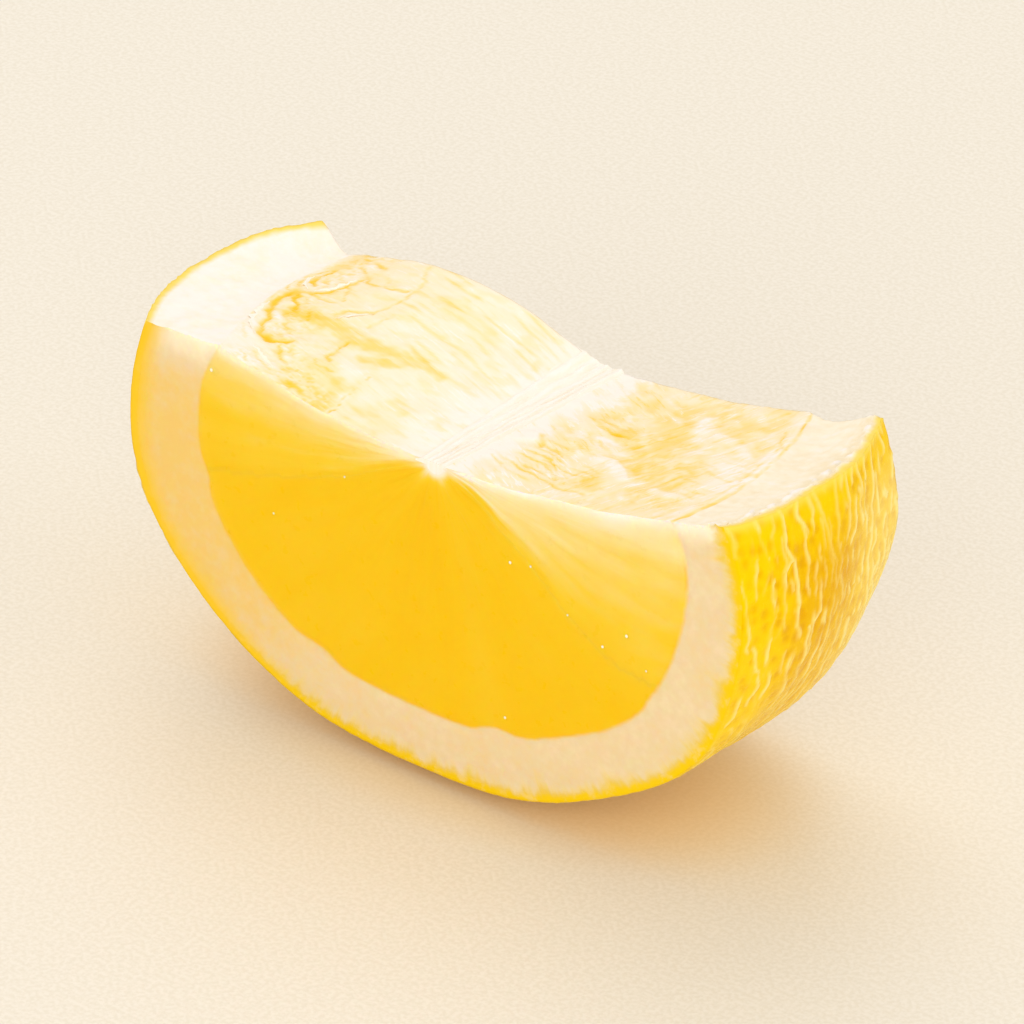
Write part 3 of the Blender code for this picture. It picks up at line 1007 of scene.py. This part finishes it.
def peel_relief(arc, y):
    """Height in mm of the peel's pits and ridges, and the pit and the ridge alone from 0 to 1."""
    here, ahead, beside = wavy(arc, y), wavy(arc, y + RIDGE_STEP), wavy(arc + RIDGE_STEP, y)
    crests = []
    for field, next_field, side_field in zip(here, ahead, beside):
        steepness = np.hypot(next_field - field, side_field - field) / RIDGE_STEP
        steepness = np.maximum(steepness, 0.22)
        # A ridge runs along one side of each hill only, so that it never closes into a loop.
        climbs = rise(0.05, 0.45, (next_field - field) / RIDGE_STEP / steepness)
        half = RIDGE_HALF + 0.06 * rise(2, 14, y)
        crests.append(bell(field / steepness / half) * climbs)
    strength = rise(-4.0, 4.0, y + 0.10 * arc) * rise(-0.9, 0.0, hills(arc / 9, y / 7, 209))
    strength = 0.30 + 0.70 * strength
    crest = crests[0] * rise(-0.5, 0.1, hills(arc / 3.0, y / 1.6, 210))
    second_crest = crests[1] * rise(0, 9, y) * rise(-0.5, 0.1, hills(arc / 2.6, y / 1.4, 213))
    crest = np.maximum(crest, 0.85 * second_crest)
    near, size = spots(arc / 1.35, y / 1.05, 206, 0.9)
    pit = bell(near / (0.30 + 0.12 * size)) * rise(0.0, 0.6, size) * (1 - crest)
    slow = rough_hills(arc / 9, y / 6, 211, 2)
    height = strength * (RIDGE_HEIGHT * crest - PIT_DEPTH * pit) + 0.07 * slow
    return height, pit * strength, crest * strength


arc, y, z = peel_places.arc, peel_places.y, peel_places.z
height, pit, ridge = peel_relief(arc, y)
out = np.clip(peel_places.layer - 2, 0, 1) * height * (1 - 0.5 * rise(-14, -26, z))
turn = np.radians(peel_places.angle)
push_back, lift = cut_relief(peel_places)
move_points(peel, in_frame(
    peel_places.x + out * np.cos(turn), y + push_back, z + lift + out * np.sin(turn),
))
only(peel)
bpy.ops.object.shade_smooth()
paint_rind(peel.data, peel_blank, peel_places)
below_top = peel_places.below_top
# Masks for painted light on the peel: the ridge for a painted highlight on the crests, the low part
# for painted light from the floor, the middle for painted shade away from the top rim and the front
# cut, and the far side for a painted sheen towards the back.
paint(
    peel.data, pit=pit, ridge=ridge * rise(-26, -12, z), low=rise(-2, -26, z),
    middle=rise(1.5, 8, y) * rise(1.0, 7.0, below_top),
    far_side=rise(11, 20, y) * rise(1.0, 6.0, below_top),
    rim=bell(below_top / 0.5), skin=vectors(arc, y),
)
thin_hidden_walls(peel)

# %% [markdown]
# ## The core
# The middle of the fruit is a white, stringy column. The lengthwise cut tore it open, so it lies
# as a rough ribbon along the top, wider at the back. It starts as a grid of faces, thickened
# downward to a block, and each point then goes to its place: ridged above, and round below, where
# it fills the groove.

# %% Find the top surface
def top_height(x, y):
    """The height of the lengthwise cut at places given in mm from the front end of the core."""
    heights = []
    for spot_x, spot_y in zip(x, y):
        gap = np.hypot(top_surface[:, 0] - spot_x, top_surface[:, 1] - spot_y)
        nearest = np.argpartition(gap, 4)[:4]
        heights.append(np.average(top_surface[nearest, 2], weights=1 / (gap[nearest] + 0.02)))
    return np.array(heights)


# %% Shape the core
CORE_CELLS, CORE_STATIONS = 44, 112
CORE_LEFT, CORE_RIGHT = (-1.9, -3.4), (1.3, 2.3)  # its edges on the front and on the back cut


def thicken(sheet, thickness, offset):
    """Gives the active sheet a thickness in mm, below it with offset -1 or on both sides with 0."""
    modifier = sheet.modifiers.new("thickness", "SOLIDIFY")
    modifier.thickness, modifier.offset = thickness * MM, offset
    bpy.ops.object.modifier_apply(modifier=modifier.name)


def block(name, across, lengthways):
    """A block, divided on top and below, from -1 to 1 mm each way and with its top at z = 0."""
    made = grid(across, lengthways)
    made.name = made.data.name = name
    thicken(made, 1, -1)
    return made


core = block("core", CORE_CELLS, CORE_STATIONS)
core_blank = points_of(core)
across, top = core_blank[:, 0], core_blank[:, 2] > -0.5
y = (core_blank[:, 1] + 1) / 2 * LENGTH
share = y / LENGTH
x = np.where(across < 0, -along(CORE_LEFT, share) * across, along(CORE_RIGHT, share) * across)
x = x + 0.12 * hills(y / 2.5, y * 0, 301) * np.abs(across)
ridges = 0.5 + 0.5 * np.cos(2 * np.pi * (across * 3.2 + 0.35 * hills(y / 6, across * 2, 302)))
stringy = rough_hills(across * 9, y / 5, 303, 3)
crown = 1 - np.abs(across) ** 2.5
flanks = bell((across - 0.66) / 0.15) + 0.35 * bell((across + 0.55) / 0.15)
surface = core_height(y)
surface[top] = top_height(x[top], y[top])
surface = surface + crown * (0.10 + 0.08 * (ridges - 0.4) + 0.12 * stringy)
surface = surface + 0.02 + 0.14 * flanks - 0.24 * np.abs(across) ** 4
groove = core_height(y) - np.sqrt(np.maximum((CORE_RADIUS + 0.05) ** 2 - x ** 2, 0)) - 0.05
under = np.minimum(groove, core_height(y) - 0.35)
# Both ends stand a little out of the cuts, and the back one is ragged.
end_bulge = np.where(y > LENGTH - 1e-6, 0.16 + 0.25 * hills(across * 4, y, 304), 0)
end_bulge = np.where(y < 1e-6, -0.08, end_bulge)
move_points(core, in_frame(x, y + end_bulge, np.where(top, surface, under)))
only(core)
bpy.ops.object.shade_smooth_by_angle(angle=math.radians(50))
paint(core.data, fibre=vectors(across * 3, y / 6), ridge=ridges)
print("core points", len(core_blank))

# %% [markdown]
# ## Torn film and juice
# The knife tore the thin white skins, so small strips of film curl up beside the creases, and
# beads of juice sit on the front cut. A strip is a grid of faces laid along its course, with one
# long edge sunk in the surface and the other lifted, then given a thickness. A bead is a squashed
# ball, half sunk.

# %% Lay the strips of film
FILM_THICKNESS = 0.06
FILM_SUNK = 0.10  # how far the lower edge is below the surface
FILM_SEED = 401


def strip(course, width, lift, lean, seed):
    """A curled strip along a course on the top. It curls to the left, or right with lean -1."""
    cells = int(4 * np.hypot(*(np.array(course[-1]) - course[0]))) + 6
    made = grid(cells, 4)
    flat = points_of(made)
    along_it, up_it = (flat[:, 0] + 1) / 2, (flat[:, 1] + 1) / 2

    def on_course(share):
        """The places at shares of the way along the course."""
        shares = np.linspace(0, 1, len(course))
        return np.stack([np.interp(share, shares, ways) for ways in zip(*course)], -1)

    ahead = on_course(along_it + 0.02) - on_course(along_it - 0.02)
    ahead = ahead / np.linalg.norm(ahead, axis=-1)[:, None]
    taper = np.sin(np.pi * np.clip(along_it, 0.02, 0.98)) ** 0.6
    ragged = taper * (0.75 + 0.6 * hills(along_it * cells / 3, along_it * 0, seed))
    aside = lean * width * ragged * np.sin(0.5 * np.pi * up_it)
    aside = aside + 0.10 * hills(along_it * cells / 2.5, along_it * 0 + 3, seed)
    x, y = on_course(along_it).T
    x, y = x - ahead[:, 1] * aside, y + ahead[:, 0] * aside
    z = top_height(x, y) - FILM_SUNK + (lift * ragged + FILM_SUNK) * np.sin(0.62 * np.pi * up_it)
    move_points(made, in_frame(x, np.clip(y, 0, LENGTH), z))
    thicken(made, FILM_THICKNESS, 0)
    return made


def joined(parts, name):
    """Several objects as one, with its faces outward."""
    only(*parts)
    bpy.ops.object.join()
    made = bpy.context.object
    made.name = made.data.name = name
    edit_all()
    bpy.ops.mesh.normals_make_consistent(inside=False)
    bpy.ops.object.mode_set(mode="OBJECT")
    bpy.ops.object.shade_smooth_by_angle(angle=math.radians(60))
    return made


# Each strip: its course, width, lift and the side that it curls to.
STRIPS = (
    (((-24.3, 9.8), (-23.6, 7.7), (-22.8, 5.8), (-21.3, 4.3)), 0.60, 0.10, -1),
    (((-23.0, 13.8), (-21.8, 14.5), (-21.4, 15.8), (-21.3, 17.2)), 0.55, 0.10, 1),
    (((-20.4, 2.7), (-18.8, 1.7), (-17.2, 1.3)), 0.50, 0.10, 1),
    (((-18.6, 10.9), (-18.0, 12.3), (-16.6, 13.5)), 0.45, 0.08, -1),
    (((-24.9, 16.4), (-24.4, 14.8), (-23.6, 13.9)), 0.45, 0.08, -1),
)
films = joined([strip(*how, FILM_SEED + k) for k, how in enumerate(STRIPS)], "torn_films")
print("film faces", len(films.data.polygons))

# %% Drop the beads of juice
# Each bead on the front cut: across, up and radius, in mm from the front end of the core.
FRONT_BEADS = (
    (7.4, -6.3, 0.13), (9.4, -5.9, 0.10), (18.7, -8.7, 0.14), (16.4, -10.6, 0.12),
    (-22.4, 0.4, 0.15), (-16.3, -10.8, 0.10), (6.9, -21.1, 0.12), (13.0, -9.0, 0.09),
    (-9.0, -4.6, 0.09), (20.6, -11.2, 0.09),
)
BEAD_SHAPE = (1, 0.6, 1.15)
BEAD_SUNK = -0.10  # where a bead's middle is, behind the front cut


def bead(x, z, radius):
    """A squashed ball of juice, half sunk in the front cut. Its pale colour is a painted glint."""
    bpy.ops.object.select_all(action="DESELECT")
    bpy.ops.mesh.primitive_ico_sphere_add(subdivisions=2, radius=radius * MM, location=(0, 0, 0))
    made = bpy.context.object
    ball = points_of(made) * BEAD_SHAPE + (x, BEAD_SUNK, z)
    move_points(made, in_frame(*ball.T))
    return made


beads = joined([bead(*spot) for spot in FRONT_BEADS], "juice_beads")
print("bead faces", len(beads.data.polygons))

# %% [markdown]
# ## Materials
# Every finish is a Principled shader fed by the painted attributes and by noise. Colours are
# written as they are seen on a screen and turned into the linear values that the shader wants.

# %% Small helpers for materials
def seen(red, green, blue):
    """A screen colour, 0 to 255, as linear numbers with alpha."""
    parts = [value / 255 for value in (red, green, blue)]
    return (*[p / 12.92 if p <= 0.04045 else ((p + 0.055) / 1.055) ** 2.4 for p in parts], 1)


class Wire:
    """What comes out of a node. Wires add, subtract and multiply as numbers do."""

    def __init__(self, finish, socket):
        self.finish, self.socket = finish, socket

    def __add__(self, other):
        return self.finish.maths("ADD", self, other)

    def __sub__(self, other):
        return self.finish.maths("SUBTRACT", self, other)

    def __rsub__(self, other):
        return self.finish.maths("SUBTRACT", other, self)

    def __mul__(self, other):
        return self.finish.maths("MULTIPLY", self, other)

    __radd__, __rmul__ = __add__, __mul__


class Finish:
    """A new material and short ways to add its nodes."""

    def __init__(self, name):
        self.material = bpy.data.materials.new(name)
        self.material.use_nodes = True
        self.tree = self.material.node_tree
        self.shader = self.tree.nodes["Principled BSDF"]
        self.place = self.add("ShaderNodeTexCoord", output="Object")

    def feed(self, socket, value):
        """Links a wire to a socket, or sets the socket to a plain value."""
        if isinstance(value, Wire):
            self.tree.links.new(value.socket, socket)
        else:
            socket.default_value = value

    def add(self, kind, inputs=(), output=0, **settings):
        """Adds a node, feeds its inputs and gives one of its outputs."""
        node = self.tree.nodes.new(kind)
        for key, value in settings.items():
            setattr(node, key, value)
        for key, value in dict(inputs).items():
            self.feed(node.inputs[key], value)
        return Wire(self, node.outputs[output])

    def attribute(self, name, output="Fac"):
        return self.add("ShaderNodeAttribute", attribute_name=name, output=output)

    def maths(self, operation, *values):
        return self.add("ShaderNodeMath", enumerate(values), operation=operation)

    def ease(self, value, low, high, start=0.0, end=1.0, kind="SMOOTHSTEP"):
        inputs = {"Value": value, 1: low, 2: high, 3: start, 4: end}
        return self.add("ShaderNodeMapRange", inputs, interpolation_type=kind)

    def noise(self, vector, scale, detail=3.0, roughness=0.5, distortion=0.0):
        return self.add("ShaderNodeTexNoise", {
            "Vector": vector, "Scale": scale, "Detail": detail, "Roughness": roughness,
            "Distortion": distortion,
        }, "Fac") - 0.5

    def colours(self, value, stops):
        colour = self.add("ShaderNodeValToRGB", {"Fac": value}, "Color")
        ramp = colour.socket.node.color_ramp
        while len(ramp.elements) < len(stops):
            ramp.elements.new(0.5)
        for element, (position, shade) in zip(ramp.elements, stops):
            element.position, element.color = position, seen(*shade)
        return colour

    def blend(self, amount, first, second):
        """A mix of two colours. The numbers are the colour mixer's own sockets."""
        return self.add("ShaderNodeMix", {0: amount, 6: first, 7: second}, 2, data_type="RGBA")

    def bump(self, height, distance, strength):
        inputs = {"Height": height, "Distance": distance, "Strength": strength}
        return self.add("ShaderNodeBump", inputs)

    def put_on(self, piece, **inputs):
        """Feeds the shader and makes this the piece's only material."""
        for key, value in inputs.items():
            self.feed(self.shader.inputs[key.replace("_", " ")], value)
        piece.data.materials.clear()
        piece.data.materials.append(self.material)


# %% [markdown]
# ### Flesh and pith
# The tone attribute runs from deep gold, where the flesh is thick and clear, to white film, and on
# the crosswise cuts a painted glow makes it paler near the top. Fine streaks along the strands
# break it up. The pith is a warm white sponge, with painted warm shade on the crosswise cuts, and
# near the peel it turns yellow in a ragged band of oil glands.

# %% The wet body's material
FLESH_TONES = (
    (0.00, (252, 184, 0)), (0.18, (254, 197, 6)), (0.36, (255, 205, 42)), (0.50, (254, 211, 92)),
    (0.64, (254, 220, 138)), (0.78, (254, 230, 178)), (0.90, (254, 236, 206)),
    (1.00, (254, 243, 231)),
)
PITH_TONES = (
    (0.0, (240, 203, 116)), (0.34, (237, 213, 168)), (0.65, (249, 231, 197)),
    (0.85, (253, 240, 216)), (1.0, (254, 243, 233)),
)
FLAVEDO_TONES = (
    (0.0, (250, 207, 0)), (0.35, (246, 205, 24)), (0.7, (240, 202, 66)), (1.0, (241, 210, 116)),
)


def pith(finish):
    """The colour of the pith, and its sponge as a noise."""
    sponge = finish.noise(finish.place, 900, 5, 0.6)
    blotch = finish.noise(finish.place, 260, 4)
    tone = finish.attribute("pith_shade") + 0.40 * sponge + 0.30 * blotch
    return finish.colours(tone, PITH_TONES), sponge


def flavedo(finish, depth):
    """The yellow band under the skin: its colour, and how much of it there is.

    On a crosswise cut it ends in teeth about 1.5 mm deep. On the lengthwise cut it is a thin line.
    """
    teeth = finish.attribute("teeth", "Vector")
    flat = finish.attribute("on_top")
    left = finish.attribute("left_side")
    crosswise_cut = 1.0 - flat
    reach = 3.2 * finish.noise(teeth, 0.40, 2, 0.5) + 1.2 * finish.noise(teeth, 1.5, 3, 0.6)
    reach = reach * (1.0 - 0.75 * left)
    length = reach * (1.0 - 0.75 * flat) + 1.3 - 0.7 * flat
    length = finish.maths("MAXIMUM", length, 0.5 - 0.15 * flat)
    inward = finish.maths("DIVIDE", depth + 0.5 * finish.noise(finish.place, 420, 3), length)
    shade = finish.colours(inward + 0.15 * left, FLAVEDO_TONES)
    blot = finish.ease(finish.noise(finish.place, 620, 4, 0.6) + 0.10 * inward, 0.02, 0.22)
    shade = finish.blend(0.65 * blot * crosswise_cut, shade, seen(244, 214, 128))
    shade = finish.blend(0.8 * left, shade, seen(250, 200, 44))
    shade = finish.blend(0.85 * flat, shade, seen(252, 222, 112))
    soft_end = 1.6 + 0.7 * left * crosswise_cut
    amount = finish.ease(inward, soft_end, 0.35, kind="LINEAR")
    return shade, finish.ease(amount, 0.0, 1.0)


wet = Finish("wet_flesh_and_pith")
top = wet.attribute("on_top")
crosswise_cut = 1.0 - top
grain = wet.attribute("grain", "Vector")
streak = wet.noise(grain, 1.0, 4, 0.55, 0.3)
fine_streak = wet.noise(grain, 3.2, 3, 0.6)
blotch = wet.noise(wet.place, 260, 4)
# Painted glints, white strokes of highlight on the dry film, and tan gaps between them, along the
# strands.
painted_glint = wet.ease(fine_streak, 0.04, 0.13) * wet.ease(blotch, -0.04, 0.10)
gap = wet.ease(fine_streak, -0.05, -0.15) * wet.ease(blotch, 0.06, -0.08)
on_film = top * (1.0 - 0.6 * wet.attribute("left_side"))
tone = wet.attribute("tone") + 0.08 * streak + 0.05 * fine_streak + 0.04 * blotch
tone = tone + 0.35 * streak * wet.attribute("gold") + on_film * (0.17 * painted_glint - 0.13 * gap)
border = wet.attribute("into_pith") + 0.3 * wet.noise(wet.place, 800, 3)
is_pith = wet.ease(border, 0.12 * top - 0.24, 0.30 - 0.14 * top)
# A deeper yellow line marks the flesh's edge here and there on the crosswise cuts.
edge_line = wet.ease(wet.maths("ABSOLUTE", border + 0.12), 0.22, 0.0) * crosswise_cut
edge_line = 0.45 * edge_line * wet.ease(blotch, -0.05, 0.12)
flesh_colour = wet.blend(edge_line, wet.colours(tone, FLESH_TONES), seen(250, 188, 14))
pith_colour, sponge = pith(wet)
band_colour, band = flavedo(wet, wet.attribute("depth"))
relief = (0.35 * streak + 0.15 * fine_streak) * (1.0 - is_pith) + 0.5 * sponge * is_pith
relief = (relief + 0.15 * wet.noise(wet.place, 1500, 3, 0.5)) * (1.0 - 0.6 * top)
wet.shader.subsurface_method = "RANDOM_WALK"
wet.put_on(
    body,
    Base_Color=wet.blend(band, wet.blend(is_pith, flesh_colour, pith_colour), band_colour),
    Roughness=0.30 + 0.25 * is_pith + 0.2 * sponge, Specular_IOR_Level=0.12,
    Subsurface_Radius=(1.0, 0.5, 0.16), Subsurface_Scale=0.0009,
    Subsurface_Weight=crosswise_cut * wet.attribute("glow"),
    Normal=wet.bump(relief, 0.00018, 0.6),
)

# %% [markdown]
# ### Peel
# A waxy yellow skin: paler on the ridges as a painted highlight, deeper in the pits, with tiny oil
# glands everywhere and a soft shine. Painted shade deepens its middle, and a painted sheen lightens
# its far side and its lowest part, which faces the floor. Its cut edge has the same yellow band as
# the flesh body, so the two meet unseen.

# %% The waxy peel's material
PEEL_TONES = (
    (0.0, (232, 172, 0)), (0.3, (238, 185, 0)), (0.6, (247, 201, 0)), (0.85, (251, 209, 0)),
    (1.0, (253, 215, 4)),
)

waxy = Finish("waxy_peel")
depth = waxy.attribute("depth")
skin = waxy.attribute("skin", "Vector")
low = waxy.attribute("low")
far_side = waxy.attribute("far_side")
mottle = waxy.noise(skin, 0.28, 4)
speckle = waxy.noise(skin, 1.6, 4, 0.6)
# Painted shade darkens the middle of the peel, less on the far side and low down.
painted_shade = waxy.attribute("middle") * (1.0 - 0.7 * far_side) * (1.0 - 0.8 * low)
tone = 0.80 - 0.50 * waxy.attribute("pit") - 0.54 * painted_shade + 0.55 * mottle + 0.35 * speckle
# Painted highlight along the ridge crests, painted light low down from the floor, and a painted
# sheen on the far side.
pale = 0.95 * waxy.attribute("ridge") * waxy.ease(speckle, -0.45, 0.0) + 0.15 * low
pale = pale + far_side * (0.42 + 0.5 * speckle)
outer_colour = waxy.blend(pale, waxy.colours(tone, PEEL_TONES), seen(253, 231, 142))
outer_colour = waxy.blend(0.7 * waxy.attribute("rim"), outer_colour, seen(254, 226, 96))
band_colour, band = flavedo(waxy, depth)
cut_colour = waxy.blend(band, pith(waxy)[0], band_colour)
glands = waxy.add("ShaderNodeTexVoronoi", {"Vector": skin, "Scale": 1.7}, "Distance")
relief = 0.4 * glands + 0.4 * waxy.noise(skin, 5.0, 4, 0.6)
waxy.put_on(
    peel, Base_Color=waxy.blend(waxy.ease(depth, 0.02, 0.12), outer_colour, cut_colour),
    Roughness=0.26 + 0.2 * speckle, Specular_IOR_Level=0.03,
    Normal=waxy.bump(relief, 0.00008, 0.5),
)

# %% [markdown]
# ### Core, film and juice
# The core is made of dry white fibres with a hint of cream between them, and the film is as white
# as the skins. Juice is a pale drop with a hard shine, and its pale, nearly white colour is a
# painted highlight, so each bead reads as a glint.

# %% The other materials
fibrous = Finish("fibrous_core")
strand = fibrous.noise(fibrous.attribute("fibre", "Vector"), 2.6, 5, 0.6)
tone = 0.50 + 0.22 * fibrous.attribute("ridge") + strand
fibrous.put_on(
    core, Base_Color=fibrous.colours(
        tone, ((0.0, (253, 231, 194)), (0.4, (254, 242, 222)), (0.8, (254, 247, 238))),
    ),
    Roughness=0.5 + 0.3 * strand, Specular_IOR_Level=0.12,
    Normal=fibrous.bump(strand + 0.4 * fibrous.noise(fibrous.place, 1800, 4), 0.00016, 0.5),
)
dry = Finish("white_film")
cloud = dry.noise(dry.place, 700, 4, 0.6)
dry.put_on(
    films, Base_Color=dry.colours(
        0.6 + cloud, ((0.2, (254, 236, 200)), (0.6, (254, 246, 228)), (1.0, (254, 249, 242))),
    ),
    Roughness=0.4 + 0.3 * cloud, Specular_IOR_Level=0.2,
    Normal=dry.bump(dry.noise(dry.place, 2600, 3), 0.0001, 0.6),
)
# The beads are real drops of juice, painted pale and nearly white as a glint.
clear = Finish("pale_juice_glint")
cloud = clear.noise(clear.place, 2500, 2)
clear.put_on(
    beads,
    Base_Color=clear.colours(0.5 + cloud, ((0.0, (255, 244, 205)), (1.0, (255, 250, 232)))),
    Roughness=0.06 + 0.06 * cloud, Specular_IOR_Level=0.6, Normal=clear.bump(cloud, 0.00002, 0.3),
)

# %% [markdown]
# ## Floor, light and camera
# The wedge stands on a warm-white floor, with a painted warm shadow close under the fruit. Three
# broad softboxes light it: one high behind it at the left, which makes the cut top gleam, a fill
# in front and a low rim light at the right. A pale room fills the rest.

# %% Floor
WARM_HALF_LENGTH, WARM_HALF_WIDTH = 0.030, 0.017  # of the painted warm shadow under the fruit, in metres

bpy.ops.object.select_all(action="DESELECT")
bpy.ops.mesh.primitive_plane_add(size=4, location=(0, 0, 0))
floor = bpy.context.object
floor.name = floor.data.name = "floor"
glaze = Finish("pale_floor")
speckle = glaze.ease(glaze.noise(glaze.place, 2600, 2), -0.2, 0.2)
colour = glaze.blend(speckle, seen(233, 224, 207), seen(241, 233, 219))
# A painted warm shadow darkens and warms the floor close to the fruit, as light that has passed
# through the fruit would.
floor_x = glaze.add("ShaderNodeSeparateXYZ", {"Vector": glaze.place}, "X") * (1 / WARM_HALF_LENGTH)
floor_y = glaze.add("ShaderNodeSeparateXYZ", {"Vector": glaze.place}, "Y") * (1 / WARM_HALF_WIDTH)
near = glaze.ease(floor_x * floor_x + floor_y * floor_y, 1.15, 0.35, 0.0, 0.45)
glaze.put_on(
    floor, Base_Color=glaze.blend(near, colour, seen(238, 202, 134)), Roughness=0.45,
    Specular_IOR_Level=0.3,
)
floor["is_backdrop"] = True

# %% Light
TINT = (1.0, 0.985, 0.96)  # of every light and of the room

world = bpy.data.worlds.new("pale_room")
bpy.context.scene.world = world
world.use_nodes = True
room = world.node_tree.nodes["Background"].inputs
room["Color"].default_value, room["Strength"].default_value = (*TINT, 1), 0.79


def look_from(thing, back):
    """Turns a lamp or a camera so that this direction is behind it."""
    thing.rotation_mode = "QUATERNION"
    thing.rotation_quaternion = (-back).to_track_quat("-Z", "Y")


# Each softbox: where it is, what it is turned to, its side, all in metres, and its power in watts.
for name, place, aim, side, power in (
    ("key", (-0.42, 0.40, 0.90), (0, 0, 0.02), 0.80, 2.7),
    ("fill", (0.35, -0.9, 0.4), (0, 0, 0.02), 0.9, 3.9),
    ("rim", (0.85, 0.25, 0.10), (0.02, 0, 0.010), 0.45, 1.8),
):
    bpy.ops.object.light_add(type="AREA", location=place)
    lamp = bpy.context.object
    lamp.name = name
    look_from(lamp, Vector(place) - Vector(aim))
    lamp.data.shape, lamp.data.size = "SQUARE", side
    lamp.data.energy, lamp.data.color = power, TINT
bpy.context.scene.view_settings.view_transform = "Standard"

# %% Camera
AZIMUTH, ELEVATION = math.radians(37), math.radians(32.4)
DISTANCE, SHIFT_RIGHT, SHIFT_DOWN = 0.56, 0.0060, 0.0038  # from the core's front end, in metres

back = Vector((
    math.sin(AZIMUTH) * math.cos(ELEVATION), -math.cos(AZIMUTH) * math.cos(ELEVATION),
    math.sin(ELEVATION),
))
right = Vector((math.cos(AZIMUTH), math.sin(AZIMUTH), 0))
shift = right * SHIFT_RIGHT - back.cross(right) * SHIFT_DOWN
bpy.ops.object.camera_add(location=Vector(core_front * MM) + shift + back * DISTANCE)
camera = bpy.context.object
camera.name = "camera"
look_from(camera, back)
camera.data.lens, camera.data.sensor_width = 252, 36  # in mm
camera.data.clip_start = 0.01
bpy.context.scene.camera = camera

# %% Attach the pieces and hide the solid
for piece, slot in (
    (body, "pulp"), (peel, "peel"), (core, "core"), (films, "membrane"), (beads, "juice"),
):
    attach(piece, "root")
    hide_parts("lemon_wedge")

model_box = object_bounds()
print_size("model, in mm:", model_box)
